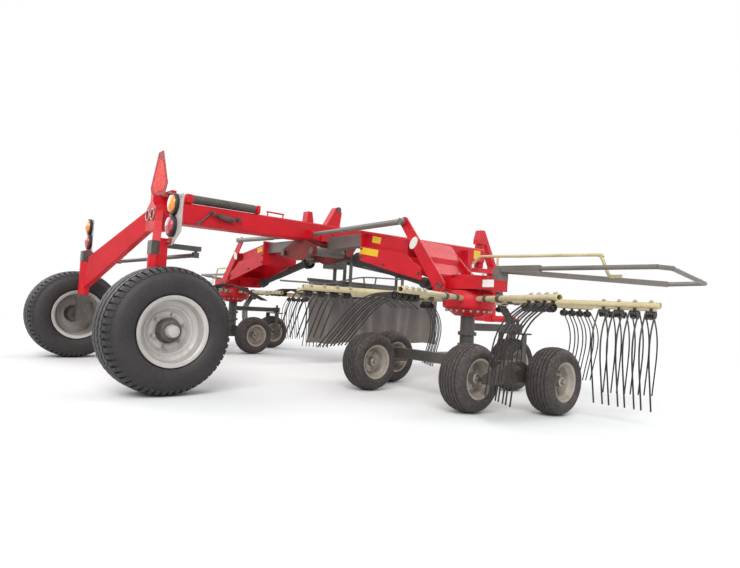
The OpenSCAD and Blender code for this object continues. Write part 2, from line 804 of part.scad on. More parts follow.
// The rockers stand a little outboard of the rotor's axis
rocker_shift = 30;
castor_arm_z = 545;
module chassis(side) {
  color("dimgray")
    mirror([side > 0 ? 0 : 1, 0, 0])
      translate([rotor_x, 0, 0])
        difference() {
          union() {
            translate([0, rotor_y, chassis_z - 40])
              cylinder(h = gear_low - seat - chassis_z + 40, d = column_d);
            flat_bar([0, rocker_y - chassis_w / 2, chassis_z], [0, rotor_y, chassis_z],
                     chassis_h, chassis_h);
            flat_bar([rocker_shift - rocker_x, rocker_y, chassis_z],
                     [rocker_shift + rocker_x, rocker_y, chassis_z], chassis_w, chassis_h);
            flat_bar([0, rotor_y, castor_arm_z], [0, castor_y, castor_arm_z], 70, 60);
            translate([0, castor_y, castor_arm_z - 35])
              cylinder(h = 70, d = 90);
            translate([rocker_shift, 0, 0])
              for (s = [-1, 1]) {
                yz_plate(s * rocker_x, 60, [
                  [rocker_y - rocker_reach - 30, small_tyre_d / 2 - 25],
                  [rocker_y + rocker_reach + 30, small_tyre_d / 2 - 25],
                  [rocker_y + rocker_reach + 30, small_tyre_d / 2 + 25],
                  [rocker_y + 60, chassis_z + 50], [rocker_y - 60, chassis_z + 50],
                  [rocker_y - rocker_reach - 30, small_tyre_d / 2 + 25]
                ]);
                // Rear stub points to the middle, front stub outwards
                x_cylinder(s > 0 ? rocker_x - rocker_wheel - 40 : -rocker_x, rocker_y - rocker_reach,
                           small_tyre_d / 2, small_stub_d, rocker_wheel + 40);
                x_cylinder(s > 0 ? rocker_x : -rocker_x - rocker_wheel - 40, rocker_y + rocker_reach,
                           small_tyre_d / 2, small_stub_d, rocker_wheel + 40);
              }
          }
          translate([0, castor_y, castor_arm_z - 60])
            cylinder(h = 120, d = 30 + 2 * fit);
        }
}

// Castor fork ahead of the rotor's column
fork_gap = small_tyre_w + 2 * gap;
module castor(side) {
  color("dimgray")
    mirror([side > 0 ? 0 : 1, 0, 0])
      translate([rotor_x, castor_y, 0]) {
        translate([0, 0, castor_arm_z - 50])
          cylinder(h = 120, d = 30);
        translate([-fork_gap / 2 - 12, -castor_trail - 30, castor_arm_z - 52])
          cube([fork_gap + 24, castor_trail + 65, 14]);
        for (s = [-1, 1])
          translate([s * (fork_gap / 2 + 6) - 6, -castor_trail - 30, small_tyre_d / 2 - 30])
            cube([12, 60, castor_arm_z - 45 - small_tyre_d / 2 + 30]);
        x_cylinder(-fork_gap / 2 - 12, -castor_trail, small_tyre_d / 2, small_stub_d, fork_gap + 24);
      }
}

// Chassis wheel with tyre and rim, its axle along X
module small_wheel(x, y) {
  half = small_tyre_w / 2;
  r = small_tyre_d / 2;
  bead = small_rim_d / 2;
  color("dimgray")
    translate([x, y, r])
      rotate([0, 90, 0])
        rotate_extrude($fn = 72)
          polygon([
            [small_stub_d / 2 + fit, -35], [40, -35], [60, -10], [bead - 14, -10],
            [bead - 14, -half + 30], [bead, -half + 18], [bead + 16, -half + 14],
            [bead + 45, -half], [r - 42, -half + 6], [r - 12, -half + 24], [r, -half + 46],
            [r, half - 46], [r - 12, half - 24], [r - 42, half - 6], [bead + 45, half],
            [bead + 16, half - 14], [bead, half - 18], [bead - 14, half - 30],
            [bead - 14, 10], [60, 10], [40, 35], [small_stub_d / 2 + fit, 35]
          ]);
}

// Places of a rotor's rocker wheels: name, sideways from the rotor's axis, along the machine
ROCKER_WHEELS = [
  ["wheel_rear_in", -rocker_x + rocker_wheel, rocker_y - rocker_reach],
  ["wheel_rear_out", rocker_x - rocker_wheel, rocker_y - rocker_reach],
  ["wheel_front_in", -rocker_x - rocker_wheel, rocker_y + rocker_reach],
  ["wheel_front_out", rocker_x + rocker_wheel, rocker_y + rocker_reach]
];

// Guard rails over the outer tine arms
module guard(side) {
  hub = [rotor_x + 170, rotor_y + 125, guard_z];
  joint = [rotor_x + 560, rotor_y + 133, guard_z];
  rear_end = [guard_x - 60, rotor_y + 150, guard_z];
  corner = [guard_x, 2380, guard_z - 5];
  tip = [guard_x, 2960, guard_z - 60];
  color("gray")
    mirror([side > 0 ? 0 : 1, 0, 0]) {
      translate([rotor_x + 165, rotor_y + 75, gear_high + seat])
        cube([60, 130, guard_z - gear_high]);
      flat_bar(hub, joint, 50, 50);
      round_bar(joint - [10, 0, 0], rear_end, guard_d);
      round_bar(rear_end + [-8, -3, 0], corner, guard_d);
      round_bar(corner + [0, -8, 0], tip, guard_d);
      round_bar(tip + [8, 4, 0], [3280, 2860, guard_z - 75], guard_d);
      flat_bar([3290, 2865, guard_z - 75], [rotor_x + 170, 2330, guard_z - 8], 40, 40);
    }
}

// Lift cylinder: barrel pinned to the carrier, rod towards the beam
function lift_dir() = let (v = [lift_in_x - lift_x, lift_in_z - lift_z]) v / norm(v);
lift_len = norm([lift_in_x - lift_x, lift_in_z - lift_z]);
barrel_len = 820;
lift_rod_d = 42;
module lift_barrel(side) {
  d = lift_dir();
  color("dimgray")
    mirror([side > 0 ? 0 : 1, 0, 0])
      difference() {
        union() {
          y_cylinder(lift_x, lift_y - lift_eye_w / 2, lift_z, 58, lift_eye_w);
          round_bar([lift_x + 18 * d.x, lift_y, lift_z + 18 * d.y],
                    [lift_x + barrel_len * d.x, lift_y, lift_z + barrel_len * d.y], 52);
          y_cylinder(lift_x, lift_y, lift_z, lift_pin_d, carrier_rear + plate_t - lift_y + 10);
        }
        round_bar([lift_x + 60 * d.x, lift_y, lift_z + 60 * d.y],
                  [lift_x + (barrel_len + 10) * d.x, lift_y, lift_z + (barrel_len + 10) * d.y],
                  lift_rod_d + 2 * fit);
      }
}

module lift_rod(side) {
  d = lift_dir();
  color("gray")
    mirror([side > 0 ? 0 : 1, 0, 0])
      union() {
        y_cylinder(lift_in_x, lift_y - lift_eye_w / 2, lift_in_z, 50, lift_eye_w);
        round_bar([lift_in_x - 15 * d.x, lift_y, lift_in_z - 15 * d.y],
                  [lift_in_x - 800 * d.x, lift_y, lift_in_z - 800 * d.y], lift_rod_d);
      }
}

// Side drive shafts from the central gearbox to the rotors
drive_in = [drive_pivot_x, gearbox_z];
drive_out = [1510, 888];
// Room for the joint cross between a drive shaft's outer end and the gearbox stub
cross_gap = 30;
function drive_dir() = (drive_out - drive_in) / norm(drive_out - drive_in);
function drive_at(r) = let (p = drive_in + r * drive_dir()) [p.x, drive_y, p.y];
module drive_outer(side) {
  color("gray")
    mirror([side > 0 ? 0 : 1, 0, 0])
      difference() {
        union() {
          y_cylinder(drive_in.x, drive_y - drive_joint_w / 2, drive_in.y, drive_joint_w, drive_joint_w);
          round_bar(drive_at(10), drive_at(60), 36);
          round_bar(drive_at(50), drive_at(150), 96);
          round_bar(drive_at(140), drive_at(720), 54);
        }
        round_bar(drive_at(200), drive_at(730), 44 + 2 * fit);
      }
}

module drive_inner(side) {
  color("gray")
    mirror([side > 0 ? 0 : 1, 0, 0])
      union() {
        round_bar(drive_at(330), drive_at(norm(drive_out - drive_in)), 44);
        round_bar(drive_at(norm(drive_out - drive_in) - 110), drive_at(norm(drive_out - drive_in) - 30), 84);
      }
}

// Moves the machine so that the middle of its length stands at the origin
module place() {
  translate([0, -mid_y, 0])
    children();
}

place() main_beam();
place() portal();
place() centre_frame();
place() centre_gearbox();
place() top_tube();
place() light_boards();
place() warning_plate();
place() curtain_rail();
place() curtain();
place() headstock();
place() parking_stand();
place() tie_rod();
for (end = [["_right", 1], ["_left", -1]]) {
  name = end[0];
  side = end[1];
  place() knuckle(side);
  place() rear_tyre(side);
  place() rear_rim(side);
  place() arm(side);
  place() carrier(side);
  place() chassis(side);
  place() guard(side);
  place() lift_barrel(side);
  place() lift_rod(side);
  place() drive_outer(side);
  place() drive_inner(side);
  place() rotor(side);
  place() castor(side);
  place() small_wheel(side * rotor_x, castor_y - castor_trail);
  for (w = ROCKER_WHEELS)
    place() small_wheel(side * (rotor_x + rocker_shift + w[1]), w[2]);
}
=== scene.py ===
"""Looks of a twin rotor hay rake.

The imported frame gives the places. This script adds the finishes and the small forms: tyre treads, rims,
bolts, spring tines, lamps, blank stickers, shaft guards and the folded swath curtain. Lengths are in metres.
Pieces that both sides have are made for the right-hand side and mirrored for the left.
"""

import json
import logging
import math
from dataclasses import dataclass
from enum import Enum

import bmesh
import bpy
from mathutils import Matrix, Vector


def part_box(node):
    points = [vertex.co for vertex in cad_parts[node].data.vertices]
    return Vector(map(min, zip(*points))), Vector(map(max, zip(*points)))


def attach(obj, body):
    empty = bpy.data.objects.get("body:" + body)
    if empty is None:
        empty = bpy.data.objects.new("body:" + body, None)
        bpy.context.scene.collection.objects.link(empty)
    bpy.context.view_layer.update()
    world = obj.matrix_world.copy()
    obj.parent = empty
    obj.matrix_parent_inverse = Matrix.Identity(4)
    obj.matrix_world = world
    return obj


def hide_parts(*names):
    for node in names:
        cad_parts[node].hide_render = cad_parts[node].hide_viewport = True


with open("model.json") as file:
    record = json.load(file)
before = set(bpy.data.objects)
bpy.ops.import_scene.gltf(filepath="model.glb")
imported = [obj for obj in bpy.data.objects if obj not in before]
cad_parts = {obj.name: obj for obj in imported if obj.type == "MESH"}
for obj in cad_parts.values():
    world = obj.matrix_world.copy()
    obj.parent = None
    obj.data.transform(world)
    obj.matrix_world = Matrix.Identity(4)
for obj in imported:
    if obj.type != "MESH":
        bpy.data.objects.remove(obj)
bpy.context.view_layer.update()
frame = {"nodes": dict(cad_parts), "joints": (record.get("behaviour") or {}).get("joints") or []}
LOG = logging.getLogger("hay_rake")

# Size of the picture that the camera is fitted to, in pixels
PICTURE_W = 740
PICTURE_H = 568

Mesh = bmesh.types.BMesh
Node = bpy.types.Node
Tree = bpy.types.NodeTree
Socket = bpy.types.NodeSocket
Piece = bpy.types.Object
# Corners as (distance along X, radius), spun about X into a closed form
Profile = list[tuple[float, float]]
Triple = tuple[float, float, float]

ACROSS = Vector((1.0, 0.0, 0.0))
BACK = Vector((0.0, -1.0, 0.0))
UP = Vector((0.0, 0.0, 1.0))
# Stands a form made along +X along +Z
STAND = Matrix.Rotation(-math.pi / 2, 4, "Y")


class Side(Enum):
    """The two sides of the machine, with the sign of their X."""

    RIGHT = 1
    LEFT = -1

    @property
    def suffix(self) -> str:
        """The ending of this side's node and body names."""
        return "_right" if self is Side.RIGHT else "_left"


def rear_axle() -> Vector:
    """The ground point under the rear axle, from which the machine's places are measured."""
    low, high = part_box("rear_tyre_right")
    return Vector((0.0, (low.y + high.y) / 2, 0.0))


ORIGIN = rear_axle()


def at(x: float, y: float, z: float) -> Vector:
    """A place in the frame from its distances to the ground point under the rear axle."""
    return ORIGIN + Vector((x, y, z))


def joint_place(name: str) -> Vector:
    """The place of a joint in the frame."""
    return Vector(next(j["pos_m"] for j in frame["joints"] if j["name"] == name))


def circle(count: int, radius: float, shift: float = 0.0) -> Profile:
    """Places spaced evenly round a circle, begun a share of the spacing past the first axis."""
    turns = [math.tau * (i + shift) / count for i in range(count)]
    return [(radius * math.cos(a), radius * math.sin(a)) for a in turns]


# Finishes


def linear(code: str) -> tuple[float, float, float, float]:
    """Turns an sRGB hex colour to linear light.

    Args:
        code: Six hex digits after a hash.

    Returns:
        Red, green, blue and an alpha of 1.
    """
    parts = [int(code[i : i + 2], 16) / 255 for i in (1, 3, 5)]
    values = [c / 12.92 if c <= 0.04045 else ((c + 0.055) / 1.055) ** 2.4 for c in parts]
    return (values[0], values[1], values[2], 1.0)


def per_mm(size: float) -> float:
    """The scale of a pattern on Object coordinates whose features are this many millimetres apart."""
    return 1000.0 / size


def fill(tree: Tree, node: Node, **links: object) -> None:
    """Fills a node's inputs.

    Args:
        tree: The node tree.
        node: The node.
        **links: Inputs by name with underscores for spaces, or by number as i0: a value, or a socket to link.
    """
    for key, value in links.items():
        socket = node.inputs[int(key[1:]) if key[1:].isdigit() else key.replace("_", " ")]
        if isinstance(value, Socket):
            tree.links.new(value, socket)
        else:
            socket.default_value = value


def add_node(tree: Tree, kind: str, settings: dict | None = None, **links: object) -> Node:
    """Adds a node, sets its settings and fills its inputs.

    Args:
        tree: The node tree.
        kind: The node's type name.
        settings: Attributes of the node.
        **links: Inputs, as for fill.

    Returns:
        The new node.
    """
    made = tree.nodes.new(kind)
    for key, value in (settings or {}).items():
        setattr(made, key, value)
    fill(tree, made, **links)
    return made


def ramp(tree: Tree, source: Socket, low: float, high: float) -> Socket:
    """Stretches a pattern so that low gives 0 and high gives 1."""
    made = add_node(tree, "ShaderNodeMapRange", {"clamp": True}, Value=source, From_Min=low, From_Max=high)
    return made.outputs["Result"]


def noise(tree: Tree, place: Socket, scale: float, detail: float) -> Socket:
    """A soft random pattern over a place."""
    return add_node(tree, "ShaderNodeTexNoise", Vector=place, Scale=scale, Detail=detail).outputs["Fac"]


def combine(tree: Tree, operation: str, *values: object) -> Socket:
    """The outcome of a sum, product or the like of values and sockets."""
    numbered = {f"i{i}": value for i, value in enumerate(values)}
    return add_node(tree, "ShaderNodeMath", {"operation": operation}, **numbered).outputs[0]


def mix_colours(tree: Tree, share: Socket, first: object, second: object) -> Socket:
    """Mixes two colours: a share of 0 gives the first and 1 the second."""
    made = add_node(tree, "ShaderNodeMix", {"data_type": "RGBA"}, Factor=share, i6=first, i7=second)
    return made.outputs[2]


def relief(tree: Tree, height: Socket, strength: float) -> Socket:
    """The normal of a surface with a pattern's relief, at most 1 mm deep."""
    made = add_node(tree, "ShaderNodeBump", Strength=strength, Distance=0.001, Height=height)
    return made.outputs["Normal"]


@dataclass(frozen=True)
class Surface:
    """What all finishes have: the material's name, two colours and the slot of the frame."""

    name: str
    colour: str
    second: str
    slot: str

    def material(self) -> bpy.types.Material:
        """Builds the material once and returns it after that."""
        found = bpy.data.materials.get(self.name)
        if found:
            return found
        made = bpy.data.materials.new(self.name)
        made.use_nodes = True
        self.dress(made.node_tree, made.node_tree.nodes["Principled BSDF"])
        return made

    def dress(self, tree: Tree, shader: Node) -> None:
        """Builds the nodes of this kind of finish.

        Args:
            tree: The material's node tree.
            shader: Its surface shader.
        """
        raise NotImplementedError


@dataclass(frozen=True)
class Finish(Surface):
    """A sprayed, moulded or machined surface with soiling and a fine relief.

    The soiling is dust that lies in large soft patches and thicker on faces that look up. The relief is the
    surface's own grain.
    """

    roughness: float = 0.4
    metallic: float = 0.0
    coat: float = 0.0
    dust: str = "#8C7F66"
    dust_share: float = 0.12
    patch_mm: float = 180.0
    speck_share: float = 1 / 9
    grain_mm: float = 4.0
    grain_depth: float = 0.15
    specular: float = 0.5
    dusty_roughness: float = 0.18

    def dress(self, tree: Tree, shader: Node) -> None:
        """Builds the two-toned base, the dust over it and the grain."""
        place = add_node(tree, "ShaderNodeTexCoord").outputs["Object"]
        patch = ramp(tree, noise(tree, place, per_mm(self.patch_mm), 5.0), 0.35, 0.68)
        base = mix_colours(tree, patch, linear(self.colour), linear(self.second))
        normal = add_node(tree, "ShaderNodeNewGeometry").outputs["Normal"]
        lying = ramp(tree, add_node(tree, "ShaderNodeSeparateXYZ", Vector=normal).outputs["Z"], 0.1, 1.0)
        speck = ramp(tree, noise(tree, place, per_mm(self.patch_mm * self.speck_share), 6.0), 0.42, 0.72)
        amount = combine(tree, "MULTIPLY", combine(tree, "MULTIPLY_ADD", lying, 0.7, 0.5), speck)
        share = combine(tree, "MULTIPLY", amount, self.dust_share * 2)
        rough = add_node(tree, "ShaderNodeMapRange", Value=speck, To_Min=self.roughness,
                         To_Max=min(1.0, self.roughness + self.dusty_roughness))
        grain = noise(tree, place, per_mm(self.grain_mm), 3.0)
        fill(tree, shader, Base_Color=mix_colours(tree, share, base, linear(self.dust)),
             Roughness=rough.outputs["Result"], Normal=relief(tree, grain, self.grain_depth),
             Metallic=self.metallic, Specular_IOR_Level=self.specular,
             Coat_Weight=self.coat, Coat_Roughness=0.12)


@dataclass(frozen=True)
class Canvas(Surface):
    """Coated woven canvas. Its threads are 6 mm apart, coarser than the real ones so that they show."""

    dust: str = "#85796C"
    thread_mm: float = 6.0

    def dress(self, tree: Tree, shader: Node) -> None:
        """Builds the soiled cloth, the mud above its lower edge and the weave."""
        cloth = add_node(tree, "ShaderNodeTexCoord").outputs["UV"]
        soil = ramp(tree, noise(tree, cloth, 3.0, 6.0), 0.35, 0.7)
        base = mix_colours(tree, soil, linear(self.colour), linear(self.second))
        low = ramp(tree, add_node(tree, "ShaderNodeSeparateXYZ", Vector=cloth).outputs["Y"], 0.35, 0.0)
        mud = combine(tree, "MULTIPLY", low, noise(tree, cloth, 14.0, 5.0))
        threads = [
            add_node(tree, "ShaderNodeTexWave", {"wave_type": "BANDS", "bands_direction": direction},
                     Vector=cloth, Scale=per_mm(self.thread_mm) / 20).outputs["Fac"]
            for direction in ("X", "Y")
        ]
        weave = combine(tree, "MULTIPLY", *threads)
        fill(tree, shader, Base_Color=mix_colours(tree, mud, base, linear(self.dust)), Roughness=0.62,
             Sheen_Weight=0.2, Normal=relief(tree, weave, 0.35))


@dataclass(frozen=True)
class Lens(Surface):
    """A moulded lamp lens with upright ribs every 8 mm. The second colour is that of its depth."""

    rib_mm: float = 8.0

    def dress(self, tree: Tree, shader: Node) -> None:
        """Builds the ribs and the clear surface over them."""
        place = add_node(tree, "ShaderNodeTexCoord").outputs["Object"]
        ribs = add_node(tree, "ShaderNodeTexWave", {"bands_direction": "X"}, Vector=place,
                        Scale=per_mm(self.rib_mm) / 20, Distortion=0.3).outputs["Fac"]
        fill(tree, shader, Base_Color=mix_colours(tree, ribs, linear(self.second), linear(self.colour)),
             Roughness=0.14, Coat_Weight=0.5, Normal=relief(tree, ribs, 0.4))


# Sprayed enamel over welded steel, with a little orange peel every 4 to 5 mm and hay dust on top
RED = Finish("red_enamel", "#CC0A20", "#B8091C", "red_paint", 0.42, coat=0.06, dust_share=0.05, grain_mm=5.0,
             grain_depth=0.08, specular=0.3)
# The centre frame's red is darker than the rest of the frame's as painted shade, for the shade it lies in,
# with real hay dust over it
DUSTY_SHADED_RED = Finish("dusty_shaded_red_enamel", "#8A1C20", "#5E2C28", "red_paint", 0.6, dust="#6E5C4A", dust_share=0.4,
                patch_mm=90.0, specular=0.25)
GREY = Finish("grey_enamel", "#6F6A65", "#625C57", "grey_paint", 0.38, coat=0.15, grain_mm=5.0,
              grain_depth=0.08)
DARK = Finish("dark_grey_enamel", "#4A4644", "#3D3A39", "dark_grey_paint", 0.42, coat=0.1, dust_share=0.2)
CREAM = Finish("cream_enamel", "#CFC097", "#BDAD82", "cream_paint", 0.38, coat=0.15, dust_share=0.16)
SILVER = Finish("silver_enamel", "#BFBAB6", "#B0ABA7", "silver_paint", 0.4, metallic=0.15, dust_share=0.14)
RIM = Finish("dusty_rim_enamel", "#B2AAA1", "#968C81", "silver_paint", 0.5, metallic=0.1, dust_share=0.34,
             patch_mm=60.0)
# Moulded rubber: dull, with pale dust worked into it
RUBBER = Finish("moulded_rubber", "#2E2A2B", "#3B3536", "tyre_rubber", 0.72, dust="#7A6D5F", dust_share=0.3,
                grain_mm=3.0, grain_depth=0.35)
TYRE = Finish("moulded_tyre_rubber", "#1D1B1D", "#282426", "tyre_rubber", 0.55, dust="#6A5F55",
              dust_share=0.14, grain_mm=3.0, grain_depth=0.3)
LAMP_RING = Finish("lamp_ring_rubber", "#17161A", "#201F23", "black_guard", 0.5, dust_share=0.1)
PLASTIC = Finish("moulded_black_plastic", "#26262A", "#2F2F32", "black_guard", 0.48, dust_share=0.2)
# Spring steel with stove black, worn by the hay, and plated bolts
SPRING = Finish("black_spring_steel", "#1E1C1D", "#2C2828", "cream_paint", 0.36, metallic=0.35,
                dust_share=0.14)
ZINC = Finish("zinc_plated_steel", "#B4B2AC", "#98958D", "grey_paint", 0.34, metallic=0.8, dust_share=0.1)
# Light boards, warning plate and blank stickers
BOARD = Finish("coated_sheet", "#B8B2AC", "#A9A29C", "board_sheet", 0.45)
SIGN = Finish("retroreflective_orange", "#DC2A1C", "#D02216", "warning_red", 0.5, dust_share=0.04,
              specular=0.25)
SIGN_EDGE = Finish("retroreflective_red", "#A00F1E", "#940D1B", "warning_red", 0.5, dust_share=0.04,
                   specular=0.25)
YELLOW = Finish("yellow_vinyl", "#E8C21C", "#DDB511", "red_paint", 0.4, dust_share=0.08, grain_depth=0.03)
WHITE = Finish("white_vinyl", "#E4E2DC", "#D8D5CE", "red_paint", 0.42, dust_share=0.1, grain_depth=0.03)
CANVAS = Canvas("coated_canvas", "#474240", "#655E5A", "curtain_canvas")
AMBER_LENS = Lens("amber_lens", "#F5941E", "#D9700A", "board_sheet")
RED_LENS = Lens("red_lens", "#C8324A", "#9A1B30", "board_sheet")

# Finish of each node that stays, without its side. The others are rubber.
NODE_FINISH = {
    "main_beam": RED, "portal": RED, "headstock": RED, "carrier": RED, "centre_frame": DUSTY_SHADED_RED,
    "centre_gearbox": DARK, "curtain_rail": DARK, "tie_rod": DARK, "knuckle": DARK, "chassis": DARK,
    "castor": DARK, "top_tube": GREY, "parking_stand": GREY, "arm": GREY, "guard": GREY, "lift_barrel": GREY,
    "lift_rod": GREY, "drive_outer": GREY, "drive_inner": GREY, "light_boards": BOARD, "warning_plate": SIGN,
    "rear_rim": SILVER, "rotor": CREAM,
}


def paint_frame() -> None:
    """Gives every CAD node that stays its finish."""
    for name, node in frame["nodes"].items():
        stem = name.removesuffix("_right").removesuffix("_left")
        for slot in node.material_slots:
            slot.material = NODE_FINISH.get(stem, RUBBER).material()


# Mesh helpers


def turned(direction: Vector, place: Vector) -> Matrix:
    """The matrix that stands +Z along a direction at a place."""
    return Matrix.Translation(place) @ direction.to_track_quat("Z", "Y").to_matrix().to_4x4()


def add_bar(bm: Mesh, a: Vector, b: Vector, radius: float, sides: int = 16, end: float | None = None) -> None:
    """Adds a round bar between two points.

    Args:
        bm: The mesh that gets it.
        a: First end.
        b: Second end.
        radius: Radius at the first end.
        sides: Number of faces round it.
        end: Radius at the second end, if it tapers.
    """
    bmesh.ops.create_cone(
        bm, cap_ends=True, segments=sides, radius1=radius, radius2=radius if end is None else end,
        depth=(b - a).length, matrix=turned(b - a, (a + b) / 2),
    )


def add_block(bm: Mesh, centre: Vector, size: Triple, turn: Matrix | None = None, bevel: float = 0.0) -> None:
    """Adds a block.

    Args:
        bm: The mesh that gets it.
        centre: Its middle.
        size: Its lengths along its own axes.
        turn: Its turning, a 4 by 4 matrix.
        bevel: Width of the rounding on its edges.
    """
    matrix = Matrix.Translation(centre) @ (turn or Matrix.Identity(4)) @ Matrix.Diagonal((*size, 1.0))
    made = bmesh.ops.create_cube(bm, size=1.0, matrix=matrix)
    if bevel:
        edges = list({e for v in made["verts"] for e in v.link_edges})
        bmesh.ops.bevel(bm, geom=edges, offset=bevel, segments=2, profile=0.5, affect="EDGES", material=-1)


def add_pipe(bm: Mesh, points: list[Vector], radius: float, sides: int = 12) -> None:
    """Adds a pipe along points, by carrying a ring from point to point.

    Args:
        bm: The mesh that gets it.
        points: Its centre line.
        radius: Its radius.
        sides: Number of faces round it.
    """
    heading = (points[1] - points[0]).normalized()
    first = bmesh.ops.create_circle(
        bm, cap_ends=True, segments=sides, radius=radius, matrix=turned(points[1] - points[0], points[0])
    )["verts"]
    ring = list({e for v in first for e in v.link_edges})
    for i in range(1, len(points)):
        last = i == len(points) - 1
        onward = ((points[i] - points[i - 1]) if last else (points[i + 1] - points[i - 1])).normalized()
        made = bmesh.ops.extrude_edge_only(bm, edges=ring)["geom"]
        verts = [v for v in made if isinstance(v, bmesh.types.BMVert)]
        ring = [e for e in made if isinstance(e, bmesh.types.BMEdge)]
        swing = heading.rotation_difference(onward).to_matrix().to_4x4()
        move = Matrix.Translation(points[i]) @ swing @ Matrix.Translation(-points[i - 1])
        bmesh.ops.transform(bm, matrix=move, verts=verts)
        heading = onward
    bmesh.ops.edgeloop_fill(bm, edges=ring)


def smooth(points: list[Vector], steps: int = 4) -> list[Vector]:
    """A smooth line through points, with this many steps from one point to the next."""
    ends = [points[0], *points, points[-1]]
    line = []
    for i in range(1, len(ends) - 2):
        a, b, c, d = ends[i - 1 : i + 3]
        square, cube = 2 * a - 5 * b + 4 * c - d, 3 * b - a - 3 * c + d
        for k in range(steps):
            t = k / steps
            line.append(0.5 * (2 * b + (c - a) * t + square * t**2 + cube * t**3))
    return [*line, points[-1]]


def add_spun(bm: Mesh, profile: Profile, steps: int) -> None:
    """Spins a closed profile about the X axis in this many steps."""
    verts = [bm.verts.new((x, 0.0, r)) for x, r in profile]
    edges = [bm.edges.new((verts[i], verts[(i + 1) % len(verts)])) for i in range(len(verts))]
    bmesh.ops.spin(
        bm, geom=verts + edges, cent=(0, 0, 0), axis=(1, 0, 0), angle=math.tau, steps=steps, use_merge=True
    )


def spun(profile: Profile, steps: int, matrix: Matrix | None = None) -> Mesh:
    """A new mesh of a profile spun about the X axis, set in its place by a matrix."""
    bm = bmesh.new()
    add_spun(bm, profile, steps)
    if matrix is not None:
        bmesh.ops.transform(bm, matrix=matrix, verts=bm.verts)
    return bm


def add_plate(bm: Mesh, corners: list[Vector], depth: Vector) -> None:
    """Adds a flat plate.

    Args:
        bm: The mesh that gets it.
        corners: The corners of one face in order.
        depth: The way from that face to the other one.
    """
    face = bm.faces.new([bm.verts.new(corner) for corner in corners])
    made = bmesh.ops.extrude_face_region(bm, geom=[face])["geom"]
    bmesh.ops.translate(bm, vec=depth, verts=[v for v in made if isinstance(v, bmesh.types.BMVert)])


def join(bm: Mesh, other: Mesh, matrix: Matrix | None = None, keep_source: bool = False) -> None:
    """Adds a copy of another mesh to a mesh.

    Args:
        bm: The mesh that gets it.
        other: The mesh to copy.
        matrix: Where the copy goes.
        keep_source: Whether the other mesh is used again.
    """
    carrier = bpy.data.meshes.new("carry")
    other.to_mesh(carrier)
    if matrix is not None:
        carrier.transform(matrix)
        if matrix.determinant() < 0:
            carrier.flip_normals()
    bm.from_mesh(carrier)
    bpy.data.meshes.remove(carrier)
    if not keep_source:
        other.free()


def add_ring(bm: Mesh, centre: Vector, axis: Vector, radius: float, wire: float) -> None:
    """Adds a closed round ring of wire.

    Args:
        bm: The mesh that gets it.
        centre: Its middle.
        axis: Direction square to it.
        radius: Radius of the wire's middle line.
        wire: Radius of the wire.
    """
    join(bm, spun([(x, radius + r) for x, r in circle(10, wire)], 32), turned(axis, centre) @ STAND)


def add_nut(bm: Mesh, place: Vector, axis: Vector, across: float, height: float, thread: float = 0.0) -> None:
    """Adds a hexagon nut or bolt head on a washer, with its thread end.

    Args:
        bm: The mesh that gets it.
        place: Middle of its seat.
        axis: Direction in which it stands out.
        across: Distance across its flats.
        height: Its height with the washer.
        thread: Length of the thread that stands out of it.
    """
    out = axis.normalized()
    washer, top = place + out * height * 0.18, place + out * height
    add_bar(bm, place, washer, across * 0.68, 20)
    add_bar(bm, washer, top, across * 0.577, 6)
    if thread:
        add_bar(bm, top, top + out * thread, across * 0.3, 12)


def keep(bm: Mesh, name: str, body: str, finish: Surface, angle: float = 35.0, outward: bool = True) -> Piece:
    """Turns a bmesh into a piece of the machine.

    Args:
        bm: The mesh, in the frame.
        name: The piece's name.
        body: The body that it rides on.
        finish: Its finish.
        angle: Edges sharper than this many degrees stay sharp.
        outward: Whether its normals are turned outwards here.

    Returns:
        The piece.
    """
    bmesh.ops.remove_doubles(bm, verts=bm.verts, dist=1e-6)
    if outward:
        bmesh.ops.recalc_face_normals(bm, faces=bm.faces)
    mesh = bpy.data.meshes.new(name)
    bm.to_mesh(mesh)
    bm.free()
    mesh.shade_smooth()
    mesh.set_sharp_from_angle(angle=math.radians(angle))
    piece = bpy.data.objects.new(name, mesh)
    bpy.context.scene.collection.objects.link(piece)
    mesh.materials.append(finish.material())
    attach(piece, body)
    return piece


def mirror(bm: Mesh, side: Side) -> None:
    """Mirrors a mesh made for the right-hand side when it is for the left."""
    if side is Side.LEFT:
        bmesh.ops.scale(bm, vec=(-1, 1, 1), verts=bm.verts)
        bmesh.ops.reverse_faces(bm, faces=bm.faces)


def keep_side(bm: Mesh, side: Side, name: str, part: str, finish: Surface, angle: float = 35.0) -> Piece:
    """Keeps a mesh made for the right-hand side as a piece of either side.

    Args:
        bm: The mesh, in the frame.
        side: The side that gets it.
        name: The piece's name without its side.
        part: The body that it rides on, without its side.
        finish: Its finish.
        angle: Edges sharper than this many degrees stay sharp.

    Returns:
        The piece.
    """
    mirror(bm, side)
    body = part if part == "frame" else part + side.suffix
    return keep(bm, name + side.suffix, body, finish, angle)


# Wheels


